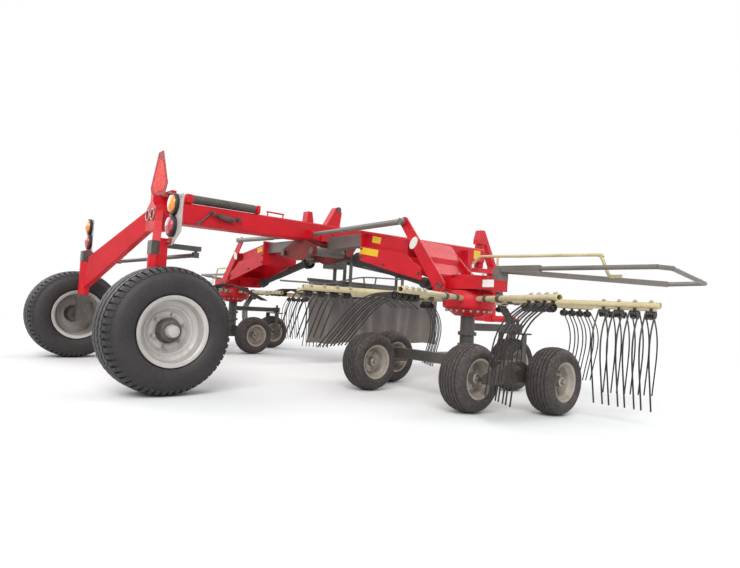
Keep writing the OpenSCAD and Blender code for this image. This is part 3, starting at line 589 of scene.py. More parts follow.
@dataclass
class Wheel:
    """A wheel whose pieces are made about the X axis with +X outwards."""

    side: Side
    name: str = "rear_wheel"

    def keep(self, bm: Mesh, name: str, finish: Finish, angle: float = 35.0) -> Piece:
        """Moves a mesh made about the X axis to the wheel and keeps it as a piece.

        Args:
            bm: The mesh.
            name: The piece's name without its side.
            finish: Its finish.
            angle: Edges sharper than this many degrees stay sharp.

        Returns:
            The piece.
        """
        suffix = self.side.suffix
        mirror(bm, self.side)
        bmesh.ops.translate(bm, vec=joint_place(self.name + "_spin" + suffix), verts=bm.verts)
        return keep(bm, name + suffix, self.name + suffix, finish, angle)

    def add_bolts(self, bm: Mesh, seat: float, places: Profile, sizes: Triple) -> None:
        """Adds wheel bolts.

        Args:
            bm: The mesh that gets them.
            seat: Distance of their seat along X.
            places: Their places round the axis.
            sizes: Distance across their flats, height of a head and length of the thread past it.
        """
        for y, z in places:
            add_nut(bm, Vector((seat, y, z)), ACROSS, *sizes)


@dataclass
class RearWheel(Wheel):
    """A rear wheel: block-tread tyre, pressed rim, hub and wheel bolts."""

    radius: float = 0.425
    half_width: float = 0.195
    bead: float = 0.215
    tread_depth: float = 0.013
    # Lugs round each shoulder; the ribs between them have two steps for each
    pitches: int = 58
    rib_places: tuple[float, ...] = (-0.068, 0.0, 0.068)
    rib_width: float = 0.050
    zigzag: float = 0.006
    lug_size: Triple = (0.072, 0.029, 0.030)
    lug_place: float = 0.138
    lug_root: float = 0.034
    shoulder: float = 0.14
    stagger: float = 0.25
    bolt_circle: float = 0.1075
    disc: float = 0.064

    # Rim flange and bead seat, then the pressed disc with its well
    LIP = [
        (0.158, 0.2148), (0.163, 0.232), (0.170, 0.2365), (0.177, 0.2345), (0.176, 0.2285), (0.170, 0.212),
        (0.164, 0.206), (0.125, 0.2035), (0.112, 0.1975),
    ]
    DISC = [
        (0.096, 0.1985), (0.086, 0.185), (0.081, 0.170), (0.074, 0.166), (0.070, 0.156), (0.070, 0.148),
        (0.062, 0.143), (0.060, 0.136), (0.068, 0.129), (0.070, 0.120), (0.070, 0.095), (0.064, 0.085),
        (0.064, 0.031), (0.056, 0.031), (0.056, 0.088), (0.060, 0.095), (0.061, 0.120), (0.059, 0.126),
        (0.051, 0.133), (0.053, 0.145), (0.061, 0.150), (0.062, 0.158), (0.066, 0.168), (0.071, 0.174),
        (0.076, 0.188), (0.080, 0.1985),
    ]

    def crown(self, x: float) -> float:
        """Radius of the rubber under the tread at a distance from the middle."""
        return self.radius - self.tread_depth - 0.9 * max(0.0, abs(x) - 0.03) ** 2

    def build_tyre(self) -> None:
        """Builds the tyre with its ribs and lugs, which stands for the plain one of the frame."""
        h, r, b = self.half_width, self.radius, self.bead
        half = [(x, self.crown(x)) for x in (0.0, 0.06, 0.11, 0.150)] + [
            (h - 0.022, r - 0.040), (h - 0.010, r - 0.062), (h - 0.007, r - 0.068), (h - 0.002, r - 0.090),
            (h, r - 0.120), (h - 0.003, r - 0.140), (h - 0.012, r - 0.163), (h - 0.014, r - 0.168),
            (h - 0.027, b + 0.028), (h - 0.040, b + 0.014), (h - 0.042, b),
        ]
        bm = spun(half + [(-x, radius) for x, radius in reversed(half[1:])], 96)
        self.add_ribs(bm)
        self.add_lugs(bm)
        piece = self.keep(bm, "rear_tyre_tread", TYRE, 32)
        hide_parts("rear_tyre" + self.side.suffix)

    def add_ribs(self, bm: Mesh) -> None:
        """Adds the zigzag ribs round the crown."""
        steps = self.pitches * 2
        w = self.rib_width / 2
        for place in self.rib_places:
            top = self.crown(place) + self.tread_depth
            low = self.crown(abs(place) + w) - 0.002
            left, right = place - w, place + w
            rib = spun([(left, low), (right, low), (right - 0.002, top), (left + 0.002, top)], steps)
            for v in rib.verts:
                step = round(math.atan2(v.co.z, v.co.y) / math.tau * steps)
                v.co.x += self.zigzag * (1 if step % 2 else -1)
            join(bm, rib)

    def add_lugs(self, bm: Mesh) -> None:
        """Adds the shoulder lugs, staggered from one side to the other."""
        lug = bmesh.new()
        made = bmesh.ops.create_cube(lug, size=1.0)["verts"]
        bmesh.ops.scale(lug, vec=self.lug_size, verts=made)
        bmesh.ops.translate(lug, vec=(self.lug_place, 0.0, 0.0), verts=made)
        along = [e for e in lug.edges if abs(e.verts[0].co.x - e.verts[1].co.x) > 0.05]
        bmesh.ops.subdivide_edges(lug, edges=along, cuts=3, use_grid_fill=True)
        for v in lug.verts:
            past = max(0.0, v.co.x - self.shoulder)
            top = self.crown(v.co.x) + self.tread_depth - 1.6 * past**1.4
            v.co.z = top if v.co.z > 0 else top - self.lug_root
            v.co.y *= 1.0 - 2.2 * past
        for sign in (1, -1):
            for i in range(self.pitches):
                turn = (i + self.stagger * sign) * math.tau / self.pitches
                matrix = Matrix.Rotation(turn, 4, "X") @ Matrix.Diagonal((sign, 1.0, 1.0, 1.0))
                join(bm, lug, matrix, keep_source=True)
        lug.free()

    def build_rim(self) -> None:
        """Builds the pressed rim, which stands for the plain one of the frame, hub, cap and wheel bolts."""
        rim = spun(self.LIP + [(-x, r) for x, r in reversed(self.LIP)], 80)
        add_spun(rim, self.DISC, 80)
        piece = self.keep(rim, "rear_rim_pressed", SILVER, 40)
        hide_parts("rear_rim" + self.side.suffix)
        x = self.disc
        self.keep(spun([
            (-0.060, 0.0305), (-0.060, 0.070), (0.0555, 0.084), (x + 0.020, 0.084), (x + 0.028, 0.078),
            (x + 0.060, 0.070), (x + 0.066, 0.060), (x + 0.066, 0.0305),
        ], 48), "rear_hub", DARK)
        x += 0.064
        self.keep(spun([
            (x, 0.0005), (x, 0.043), (x + 0.040, 0.041), (x + 0.048, 0.036), (x + 0.052, 0.020),
            (x + 0.052, 0.0005),
        ], 36), "rear_hub_cap", SILVER)
        bolts = bmesh.new()
        self.add_bolts(bolts, 0.0705, circle(6, self.bolt_circle, 0.3), (0.026, 0.020, 0.010))
        self.keep(bolts, "rear_wheel_bolts", ZINC, 20)

    def build(self) -> None:
        """Builds the whole wheel."""
        self.build_tyre()
        self.build_rim()


@dataclass
class RotorWheel(Wheel):
    """A wheel under a rotor: a low tyre with round ribs on a pressed rim."""

    radius: float = 0.2285
    half_width: float = 0.1075
    bead: float = 0.127
    groove_places: tuple[float, ...] = (-0.060, -0.036, -0.012, 0.012, 0.036, 0.060)
    groove_depth: float = 0.007
    bolt_circle: float = 0.065

    HUB = [(-0.040, 0.0145), (-0.040, 0.030), (0.020, 0.038), (0.060, 0.034), (0.064, 0.028), (0.064, 0.0145)]

    def crown(self, x: float) -> float:
        """Radius of the tread at a distance from the middle."""
        return self.radius - 2.2 * abs(x) ** 2

    def tyre_profile(self) -> Profile:
        """The tyre's section: grooves over the tread, then one wall and the other."""
        h, b, r = self.half_width, self.bead, self.radius
        tread = []
        for x in self.groove_places:
            floor = self.crown(x) - self.groove_depth
            tread += [(x - 0.005, self.crown(x - 0.005)), (x - 0.003, floor), (x + 0.003, floor),
                      (x + 0.005, self.crown(x + 0.005))]
        wall = [(0.082, r - 0.018), (0.096, r - 0.032), (h - 0.002, r - 0.048), (h, r - 0.060),
                (h - 0.004, r - 0.073), (h - 0.013, b + 0.018), (h - 0.022, b + 0.004), (h - 0.026, b)]
        return tread + wall + [(-x, radius) for x, radius in reversed(wall)]

    def rim_profile(self) -> Profile:
        """The rim's section, with its deep outer dish and its disc."""
        e, b = self.half_width - 0.020, self.bead
        return [
            (-e, b + 0.012), (-e + 0.004, b + 0.012), (-e + 0.006, b - 0.002), (e - 0.006, b - 0.002),
            (e - 0.004, b + 0.012), (e, b + 0.012), (e + 0.001, b + 0.002), (e - 0.006, b - 0.008),
            (0.060, b - 0.012), (0.046, b - 0.022), (0.020, b - 0.024), (0.006, b - 0.028), (0.006, 0.088),
            (0.020, 0.080), (0.020, 0.015), (0.012, 0.015), (0.012, 0.074), (0.000, 0.084),
            (-0.002, b - 0.024), (-e + 0.012, b - 0.014), (-e, b - 0.004),
        ]

    def build(self) -> None:
        """Builds the tyre and the rim, which stand for the plain wheel of the frame."""
        piece = self.keep(spun(self.tyre_profile(), 64), self.name + "_tyre", RUBBER, 32)
        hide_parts(self.name + self.side.suffix)
        self.keep(spun(self.rim_profile(), 48), self.name + "_rim", RIM, 30)
        hub = spun(self.HUB, 32)
        add_bar(hub, ACROSS * 0.058, ACROSS * 0.082, 0.020, 24, 0.016)
        self.add_bolts(hub, 0.0195, circle(5, self.bolt_circle), (0.019, 0.013, 0.006))
        self.keep(hub, self.name + "_hub", ZINC, 25)


# Rotors and curtain


@dataclass
class Rotor:
    """A turning reel: hub bell, tine arms, spring tines and their holders."""

    side: Side
    radius: float = 1.44
    arm_z: float = 0.770
    arm_radius: float = 0.021
    arm_count: int = 10
    first_arm: float = -31.0
    bearings: tuple[float, ...] = (0.38, 0.62)
    tine_start: float = 1.056
    pair_pitch: float = 0.100
    pair_count: int = 4
    tine_gap: float = 0.058
    coil_radius: float = 0.0225
    coil_turns: float = 2.5
    coil_pitch: float = 0.0112
    coil_steps: int = 30
    wire: float = 0.0054
    drop: float = 0.062
    upper: float = 0.210
    lower: float = 0.440
    trail: float = 33.0
    bend: float = 46.0
    bolt_circle: float = 0.180
    bolt_seat: float = 0.6795

    # Tilt that its cam gives a tine arm: (azimuth up to which it holds, tilt), in degrees
    TILTS = ((-110.0, 78.0), (-60.0, 52.0), (-20.0, 19.0), (160.0, 0.0), (361.0, 30.0))
    # Hub bell, as (height, radius)
    BELL = [
        (0.630, 0.0575), (0.630, 0.105), (0.668, 0.160), (0.690, 0.196), (0.700, 0.208), (0.706, 0.210),
        (0.790, 0.210), (0.798, 0.206), (0.826, 0.194), (0.834, 0.186), (0.834, 0.0575),
    ]

    def tilt(self, azimuth: float) -> float:
        """Tilt of the tine arm at an azimuth, in degrees."""
        return next(value for limit, value in self.TILTS if azimuth < limit)

    def add_tine(self, bm: Mesh, sign: int) -> None:
        """Adds one spring tine: its coil about the X axis and its wire, bowed at the bend.

        Args:
            bm: The mesh that gets it.
            sign: The end of the pair on which it is.
        """
        x = sign * self.tine_gap / 2
        start = Vector((x, -self.coil_radius, 0.0))
        ring = bmesh.ops.create_circle(
            bm, cap_ends=False, segments=6, radius=self.wire, matrix=Matrix.Translation(start)
        )["verts"]
        edges = list({e for v in ring for e in v.link_edges})
        bmesh.ops.spin(
            bm, geom=ring + edges, cent=(x, 0, 0), axis=(1, 0, 0), angle=-math.tau * self.coil_turns,
            steps=self.coil_steps, use_merge=False,
            dvec=(-sign * self.coil_pitch * self.coil_turns / self.coil_steps, 0, 0),
        )
        a, b = math.radians(self.trail), math.radians(self.trail - self.bend)
        kink = start + self.upper * Vector((0, -math.sin(a), -math.cos(a)))
        tip = kink + self.lower * Vector((0, -math.sin(b), -math.cos(b)))
        near, far = start.lerp(kink, 0.35), kink.lerp(tip, 0.42)
        bow = [near.lerp(kink, k / 7).lerp(kink.lerp(far, k / 7), k / 7) for k in range(8)]
        add_pipe(bm, [start, *bow, tip], self.wire, 6)

    def tine_pair(self) -> Mesh:
        """Builds two spring tines and, between their coils, the holder with its bolt.

        Returns:
            The mesh of one pair, about the middle of its coils.
        """
        bm = bmesh.new()
        for sign in (1, -1):
            self.add_tine(bm, sign)
        inside = ACROSS * (self.tine_gap / 2 - 0.004)
        add_bar(bm, -inside, inside, 0.012, 10)
        add_block(bm, Vector((0, 0, 0.022)), (0.016, 0.020, 0.044))
        add_nut(bm, Vector((0, -0.010, 0.004)), BACK, 0.017, 0.010)
        return bm

    def clamp(self) -> Mesh:
        """The plate and the bolt over an arm that hold one pair."""
        bm = bmesh.new()
        add_block(bm, UP * (self.arm_radius + 0.003), (0.024, 0.026, 0.008), None, 0.003)
        add_nut(bm, UP * (self.arm_radius + 0.007), UP, 0.013, 0.007)
        return bm

    def add_arm(self, arms: Mesh, ends: Mesh, spoke: Matrix) -> None:
        """Adds one tine arm, an open tube, with its bearings.

        Args:
            arms: The mesh of the cream tubes.
            ends: The mesh of the bearings.
            spoke: The matrix that lays +X along the arm.
        """
        r = self.arm_radius
        near, far = 0.15, self.radius
        join(arms, spun([(near, r - 0.005), (near, r), (far, r), (far, r - 0.005)], 20), spoke)
        for x in self.bearings:
            a, b, inner, outer = x - 0.020, x + 0.020, r + 0.0003, r + 0.009
            join(ends, spun([(a, inner), (a, outer), (b, outer), (b, inner)], 20), spoke)

    def build(self) -> None:
        """Builds the reel, which stands for the plain one of the frame."""
        suffix = self.side.suffix
        hub = joint_place("rotor_turn" + suffix)
        centre = Vector((abs(hub.x), hub.y, 0.0))
        pair, clamp = self.tine_pair(), self.clamp()
        arms, ends, clamps, tines, bolts = (bmesh.new() for _ in range(5))
        for i in range(self.arm_count):
            azimuth = self.first_arm + i * 360.0 / self.arm_count
            azimuth = azimuth - 360.0 if azimuth > 180.0 else azimuth
            turn = Matrix.Rotation(math.radians(azimuth), 4, "Z")
            spoke = Matrix.Translation(centre + UP * self.arm_z) @ turn
            self.add_arm(arms, ends, spoke)
            roll = Matrix.Rotation(math.radians(-self.tilt(azimuth)), 4, "X")
            for k in range(self.pair_count):
                r = self.tine_start + self.tine_gap / 2 + k * self.pair_pitch
                place = spoke @ Matrix.Translation((r, 0, 0)) @ roll
                join(tines, pair, place @ Matrix.Translation((0, 0, -self.drop)), keep_source=True)
                join(clamps, clamp, place, keep_source=True)
        pair.free()
        clamp.free()
        bell = spun(self.BELL, 64, Matrix.Translation(centre) @ STAND)
        for x, y in circle(self.arm_count * 2, self.bolt_circle, 0.5):
            add_nut(bolts, centre + Vector((x, y, self.bolt_seat)), -UP, 0.019, 0.012, 0.006)
        reel = keep_side(arms, self.side, "tine_arms", "rotor", CREAM)
        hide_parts("rotor" + suffix)
        for bm, name, finish, angle in (
            (ends, "tine_arm_bearings", DARK, 35.0),
            (clamps, "tine_clamps", ZINC, 25.0),
            (tines, "spring_tines", SPRING, 50.0),
            (bell, "hub_bell", RED, 35.0),
            (bolts, "hub_bell_bolts", ZINC, 20.0),
        ):
            keep_side(bm, self.side, name, "rotor", finish, angle)


@dataclass
class Curtain:
    """The swath curtain: a canvas that hangs in folds from its rail."""

    rear: float = 1.98
    front: float = 4.04
    low: float = 0.235
    top: float = 0.902
    depth: float = 0.040
    folds: float = 3.6
    hem: float = 0.012
    thickness: float = 0.004
    columns: int = 150
    rows: int = 40

    def sway(self, share: float, down: float) -> float:
        """Distance sideways of the cloth at a share of its length and of its height from the top."""
        turn = share * self.folds * math.tau
        wave = math.sin(turn) + 0.5 * math.sin(turn * 2.7 + 1.2)
        drift = 0.7 * math.sin(share * 11.0 + 3.0 * down)
        return self.depth * down * (wave + drift)

    def build(self) -> None:
        """Builds the cloth, which stands for the flat sheet of the frame."""
        bm = bmesh.new()
        uv = bm.loops.layers.uv.new("cloth")
        bmesh.ops.create_grid(bm, x_segments=self.columns, y_segments=self.rows, size=0.5, calc_uvs=False)
        width, height = self.front - self.rear, self.top - self.low
        for face in bm.faces:
            for loop in face.loops:
                loop[uv].uv = ((loop.vert.co.x + 0.5) * width, (loop.vert.co.y + 0.5) * height)
        for v in bm.verts:
            share, down = v.co.x + 0.5, 0.5 - v.co.y
            hem = self.hem * math.sin(share * self.folds * math.tau + 0.8) * down
            v.co = at(self.sway(share, down), self.rear + share * width, self.top - down * height + hem)
        piece = keep(bm, "swath_curtain", "frame", CANVAS, 80, outward=False)
        thick = piece.modifiers.new("Canvas", "SOLIDIFY")
        thick.thickness = self.thickness
        thick.offset = 0.0
        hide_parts("curtain")


# Fittings


@dataclass
class LightBoard:
    """The lamps on one rear light board, with their places as (sideways, height)."""

    side: Side
    face: float = 0.060
    lens_radius: float = 0.064
    amber: tuple[float, float] = (1.085, 1.298)
    red: tuple[float, float] = (1.068, 1.144)
    # The two lower bolts hold the thinner foot of the board
    bolts: tuple[tuple[float, float], ...] = ((1.010, 1.036), (1.045, 1.036), (1.010, 1.340), (1.190, 1.340))
    foot: float = 0.0085

    def add_lamp(self, spot: tuple[float, float], finish: Lens, name: str) -> None:
        """Adds a round lamp with its rubber ring.

        Args:
            spot: Its sideways place and height.
            finish: Finish of its lens.
            name: Name of the lens.
        """
        r = self.lens_radius
        place = turned(BACK, at(spot[0], self.face, spot[1])) @ STAND
        parts = (
            (name, finish, [(0.004, 0.0005), (0.004, r), (0.026, r), (0.036, r * 0.9), (0.043, r * 0.6),
                            (0.046, r * 0.3), (0.047, 0.0005)]),
            (name + "_ring", LAMP_RING, [(0.0003, r + 0.001), (0.0003, r + 0.013), (0.020, r + 0.013),
                                         (0.027, r + 0.008), (0.027, r + 0.001)]),
        )
        for part, look, profile in parts:
            keep_side(spun(profile, 48, place), self.side, part, "frame", look)

    def build(self) -> None:
        """Builds both lamps and the fixing bolts."""
        self.add_lamp(self.amber, AMBER_LENS, "turn_lamp")
        self.add_lamp(self.red, RED_LENS, "tail_lamp")
        bm = bmesh.new()
        for x, z in self.bolts:
            add_nut(bm, at(x, self.face - (self.foot if z < 1.1 else 0.0), z), BACK, 0.013, 0.008)
        keep_side(bm, self.side, "board_bolts", "frame", ZINC, 20)


class WarningPlate:
    """The border and the two rivets of the blank triangular warning plate, from its lower edge's middle."""

    OUTLINE = ((-0.205, 0.092), (-0.151, 0.0), (0.151, 0.0), (0.205, 0.092), (0.055, 0.397), (-0.055, 0.397))
    MIDDLE = (0.0, 0.150)
    INNER_SHARE = 0.76
    REAR = 0.316
    RIVETS = (0.045, 0.330)

    def build(self) -> None:
        """Builds the border as six strips round the paler middle."""
        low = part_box("warning_plate")[0].z
        outer = [at(x, self.REAR - 0.0002, low + z) for x, z in self.OUTLINE]
        centre = at(self.MIDDLE[0], self.REAR - 0.0002, low + self.MIDDLE[1])
        inner = [centre.lerp(corner, self.INNER_SHARE) for corner in outer]
        bm = bmesh.new()
        for i in range(len(outer)):
            k = (i + 1) % len(outer)
            add_plate(bm, [outer[i], outer[k], inner[k], inner[i]], BACK * 0.0006)
        keep(bm, "warning_plate_border", "frame", SIGN_EDGE)
        rivets = bmesh.new()
        for z in self.RIVETS:
            place = at(0.0, self.REAR - 0.0009, low + z)
            add_bar(rivets, place, place + BACK * 0.003, 0.008, 20)
        keep(rivets, "warning_plate_rivets", "frame", DARK)


def add_stickers() -> None:
    """Adds the blank vinyl stickers: (name, finish, body, sides, centre, size, degrees about Y)."""
    both = (Side.RIGHT, Side.LEFT)
    table = (
        ("sleeve_sticker", YELLOW, "arm", both, (1.074, 1.9645, 1.285), (0.120, 0.001, 0.060), 9.8),
        ("panel_sticker", YELLOW, "arm", (Side.RIGHT,), (1.030, 1.9145, 1.170), (0.262, 0.001, 0.062), 9.0),
        ("housing_sticker", WHITE, "arm", both, (2.357, 1.9745, 0.886), (0.104, 0.001, 0.056), 0.0),
        ("cover_sticker", WHITE, "arm", both, (1.663, 1.9155, 1.203), (0.085, 0.0005, 0.034), 52.0),
        ("beam_sticker", YELLOW, "frame", both, (0.1005, 4.688, 1.470), (0.001, 0.142, 0.120), 0.0),
    )
    for name, finish, body, sides, centre, size, angle in table:
        for side in sides:
            bm = bmesh.new()
            add_block(bm, at(*centre), size, Matrix.Rotation(math.radians(angle), 4, "Y"))
            keep_side(bm, side, name, body, finish)


@dataclass
class RotorArm:
    """The fittings of one rotor arm: shaft guards, pins, bolts, hoop and the chassis' collars."""

    side: Side
    drive_in: Triple = (0.400, 2.270, 1.160)
    drive_out: Triple = (1.510, 2.270, 0.888)
    plate_rear: float = 1.915
    lever_pin: tuple[float, float] = (1.922, 0.858)
    hinge: tuple[float, float] = (0.270, 1.200)
    hoop_y: float = 2.362
    column: Triple = (2.040, 2.150, 0.0)
    rocker: Triple = (2.070, 1.790, 0.300)
    rocker_face: float = 0.6895
    lid_top: float = 0.9592

    # Bolts of the rear plate and corners of the hoop, as (sideways, height)
    PLATE_BOLTS = ((0.925, 1.125), (0.925, 1.205), (1.240, 1.050), (1.680, 0.965))
    HOOP = (
        (1.900, 1.079), (1.950, 1.128), (2.010, 1.141), (2.371, 1.132), (2.990, 1.120), (3.030, 1.103),
        (3.050, 1.070), (3.085, 0.985), (3.110, 0.967), (3.181, 0.967),
    )
    # Guard that the inner joint carries, with its ribbed cone
    OUTER_GUARD = [
        (0.040, 0.078), (0.060, 0.080), (0.068, 0.074), (0.082, 0.076), (0.090, 0.070), (0.104, 0.072),
        (0.112, 0.062), (0.165, 0.042), (0.740, 0.038), (0.740, 0.0345), (0.168, 0.0345), (0.150, 0.049),
        (0.100, 0.058), (0.060, 0.074), (0.040, 0.074),
    ]

    def add_guards(self) -> None:
        """Adds the plastic guards of the drive shaft, one sliding in the other, with their cones."""
        start = at(*self.drive_in)
        run = at(*self.drive_out) - start
        end = run.length
        inner = [
            (0.560, 0.029), (0.560, 0.033), (end - 0.120, 0.033), (end - 0.108, 0.050), (end - 0.020, 0.058),
            (end - 0.020, 0.055), (end - 0.108, 0.043), (end - 0.120, 0.029),
        ]
        place = turned(run.normalized(), start) @ STAND
        for part, profile in (("drive_outer", self.OUTER_GUARD), ("drive_inner", inner)):
            keep_side(spun(profile, 32, place), self.side, part + "_guard", part, PLASTIC)

    def add_pins(self) -> None:
        """Adds the lever's pin and blank sticker, the bolts of the rear plate and the hinge pin's heads."""
        rear = self.plate_rear
        x, z = self.lever_pin
        bm = bmesh.new()
        add_bar(bm, at(x, rear - 0.0003, z), at(x, rear - 0.004, z), 0.022, 32)
        for dx, dz in circle(3, 0.036, 1 / 6):
            add_nut(bm, at(x + dx, rear, z + dz), BACK, 0.013, 0.008, 0.003)
        for x, z in self.PLATE_BOLTS:
            add_nut(bm, at(x, rear, z), BACK, 0.018, 0.011, 0.004)
        keep_side(bm, self.side, "arm_bolts", "arm", DARK, 20)
        oval = bmesh.new()
        add_bar(oval, Vector((0, 0, 0)), BACK * 0.0008, 0.040, 40)
        place = Matrix.Translation(at(1.606, rear, 1.224)) @ Matrix.Rotation(math.radians(38.8), 4, "Y")
        bmesh.ops.transform(oval, matrix=place @ Matrix.Diagonal((0.95, 1.0, 1.45, 1.0)), verts=oval.verts)
        keep_side(oval, self.side, "lever_sticker", "arm", WHITE)
        # The hinge pin heads take the dark grey finish for grease and hay dust, and partly as painted shade
        # of the hinge round them
        heads = bmesh.new()
        x, z = self.hinge
        for y, height in ((1.800, -0.012), (2.225, 0.012)):
            add_bar(heads, at(x, y, z), at(x, y + height, z), 0.034, 32)
        keep_side(heads, self.side, "hinge_pin_heads", "frame", DARK)

    def add_hoop(self) -> None:
        """Adds the bent hoop in front of the guard."""
        bm = bmesh.new()
        add_pipe(bm, smooth([at(x, self.hoop_y, z) for x, z in self.HOOP]), 0.012)
        add_bar(bm, at(2.150, self.hoop_y, 0.930), at(2.150, self.hoop_y, 1.136), 0.010, 12)
        keep_side(bm, self.side, "hoop", "arm", CREAM)

    def add_chassis_fittings(self) -> None:
        """Adds the rockers' pivot bolts, the column's collars and the bolts of the lid over the rotor."""
        bm = bmesh.new()
        for out in (-ACROSS, ACROSS):
            face = at(*self.rocker) + out * self.rocker_face
            add_bar(bm, face, face + out * 0.006, 0.034, 28)
            add_nut(bm, face + out * 0.006, out, 0.036, 0.020, 0.008)
        for z in (0.380, 0.475):
            collar = [(z, 0.0565), (z, 0.072), (z + 0.004, 0.075), (z + 0.026, 0.075), (z + 0.030, 0.072),
                      (z + 0.030, 0.0565)]
            join(bm, spun(collar, 40), Matrix.Translation(at(*self.column)) @ STAND)
        keep_side(bm, self.side, "chassis_fittings", "arm", DARK, 25)
        lid = bmesh.new()
        for x, y in circle(8, 0.130):
            add_nut(lid, at(*self.column) + Vector((x, y, self.lid_top)), UP, 0.017, 0.011, 0.004)
        keep_side(lid, self.side, "lid_bolts", "arm", ZINC, 20)

    def build(self) -> None:
        """Builds all the fittings of this side."""
        self.add_guards()
        self.add_pins()
        self.add_hoop()
        self.add_chassis_fittings()


def add_rod(name: str, x: float, line: tuple[tuple[float, float], ...], finish: Finish) -> None:
    """Adds a bent rod under the beam.

    Args:
        name: The piece's name.
        x: Its sideways place.
        line: Its bends, as places along the machine and in height.
        finish: Its finish.
    """
    bm = bmesh.new()
    add_pipe(bm, smooth([at(x, y, z) for y, z in line]), 0.009)
    keep(bm, name, "frame", finish)


@dataclass
class BeamFittings:
    """The small parts on and under the main beam."""

    valve_x: float = 0.100
    tube_x: float = 0.030
    barrel: Triple = (0.070, 0.66, 0.011)
    barrel_radius: float = 0.040

    # Places along the machine and in height
    BENT_TUBE = (
        (1.60, 0.88), (1.90, 0.885), (2.17, 0.89), (2.45, 0.945), (2.72, 1.00), (3.20, 1.02), (3.71, 1.04),
    )
    PORTS = ((0.775, 1.437), (0.841, 1.417), (0.975, 1.396), (1.041, 1.416))
    LEVER = ((0.645, 1.318), (0.775, 1.437))

    def add_portal_fittings(self) -> None:
        """Adds the rings on the portal's block and the bolts of the beam's flange."""
        rings, bolts = bmesh.new(), bmesh.new()
        for sign in (-1, 1):
            add_ring(rings, at(sign * 0.057, 0.258, 1.353), BACK, 0.045, 0.006)
            for z in (1.315, 1.395, 1.475, 1.552):
                add_nut(bolts, at(sign * 0.128, 0.380, z), BACK, 0.024, 0.015, 0.008)
        keep(rings, "portal_rings", "frame", ZINC)
        keep(bolts, "flange_bolts", "frame", ZINC, 20)

    def add_valve(self) -> None:
        """Adds the valve with its ports and lever, and the barrel between the brackets on the beam."""
        x = self.valve_x
        bm = bmesh.new()
        for y, z in self.PORTS:
            add_bar(bm, at(x, y, z), at(x + 0.050, y, z), 0.020, 20)
            add_bar(bm, at(x + 0.050, y, z), at(x + 0.066, y, z), 0.012, 16)
        slope = Matrix.Rotation(-0.16, 4, "X")
        add_block(bm, at(x + 0.022, 0.908, 1.408), (0.044, 0.120, 0.040), slope, 0.004)
        low, high = (at(x + 0.012, y, z) for y, z in self.LEVER)
        add_bar(bm, low, high, 0.008, 12)
        add_bar(bm, low - ACROSS * 0.012, low + ACROSS * 0.028, 0.016, 16)
        add_bar(bm, at(-0.050, 2.287, 1.718), at(0.050, 2.287, 1.718), 0.030, 24)
        keep(bm, "beam_valve", "frame", DARK)

    def add_top_tube(self) -> None:
        """Adds the dark tube between its red ends, which stands for the plain one of the frame."""
        x, length, rise = self.barrel
        low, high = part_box("top_tube")
        base = high.z - 0.0005
        start = Vector((x, low.y + 0.040, base - 0.064))
        tube = bmesh.new()
        add_bar(tube, start, start + Vector((0.0, length, rise)), self.barrel_radius, 40)
        piece = keep(tube, "top_tube_barrel", "frame", DARK)
        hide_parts("top_tube")
        ends = bmesh.new()
        for y, run, drop in ((low.y, 0.073, 0.012), (high.y - 0.039, 0.039, 0.0)):
            add_block(ends, Vector((x, y + run / 2, base - 0.055 - drop)), (0.084, run, 0.086), None, 0.016)
        keep(ends, "top_tube_ends", "frame", RED)

    def build(self) -> None:
        """Builds all the fittings of the beam."""
        self.add_portal_fittings()
        add_rod("bent_tube", self.tube_x, self.BENT_TUBE, GREY)
        self.add_valve()
        self.add_top_tube()


@dataclass
class FrontFittings:
    """The small parts at the front: drive input cup, link pin rings, mast bolts, stand pin and hook."""

    input_place: Triple = (0.0, 5.2405, 0.950)
    link_pin: Triple = (0.482, 5.185, 0.600)
    mast_bolt: Triple = (0.055, 5.180, 0.835)
    stand_pin: Triple = (0.196, 4.420, 1.300)
    hook_x: float = 0.046

    HOOK = (
        (2.703, 1.000), (2.720, 0.930), (2.760, 0.872), (2.811, 0.855), (2.860, 0.885), (2.885, 0.950),
        (2.895, 1.010),
    )
    CUP = [
        (0.000, 0.052), (0.000, 0.096), (0.020, 0.100), (0.075, 0.104), (0.080, 0.108), (0.084, 0.104),
        (0.080, 0.099), (0.022, 0.095), (0.006, 0.090), (0.006, 0.052),
    ]

    def add_head_fittings(self) -> None:
        """Adds the cup round the drive input, the link pins' rings and the mast's bolts."""
        place = Matrix.Translation(at(*self.input_place)) @ Matrix.Rotation(math.pi / 2, 4, "Z")
        keep(spun(self.CUP, 44, place), "input_cup", "headstock", PLASTIC)
        pins = bmesh.new()
        for sign in (-1, 1):
            x, y, z = self.link_pin
            add_bar(pins, at(sign * x, y, z - 0.018), at(sign * x, y, z + 0.022), 0.0045, 12)
            add_ring(pins, at(sign * x, y, z + 0.040), ACROSS, 0.018, 0.0025)
            x, y, z = self.mast_bolt
            for rise in (0.0, 0.050):
                add_nut(pins, at(sign * x, y, z + rise), ACROSS * sign, 0.022, 0.014, 0.006)
        keep(pins, "link_pin_rings", "headstock", ZINC, 25)

    def build(self) -> None:
        """Builds the headstock's fittings, the pin that locks the stand and the hook."""
        self.add_head_fittings()
        bm = bmesh.new()
        start = at(*self.stand_pin)
        end = start + ACROSS * 0.040
        add_bar(bm, start, end, 0.009, 20)
        add_ring(bm, end - UP * 0.020, ACROSS, 0.022, 0.003)
        keep(bm, "stand_locking_pin", "frame", ZINC)
        add_rod("bent_hook", self.hook_x, self.HOOK, DARK)


# Stage


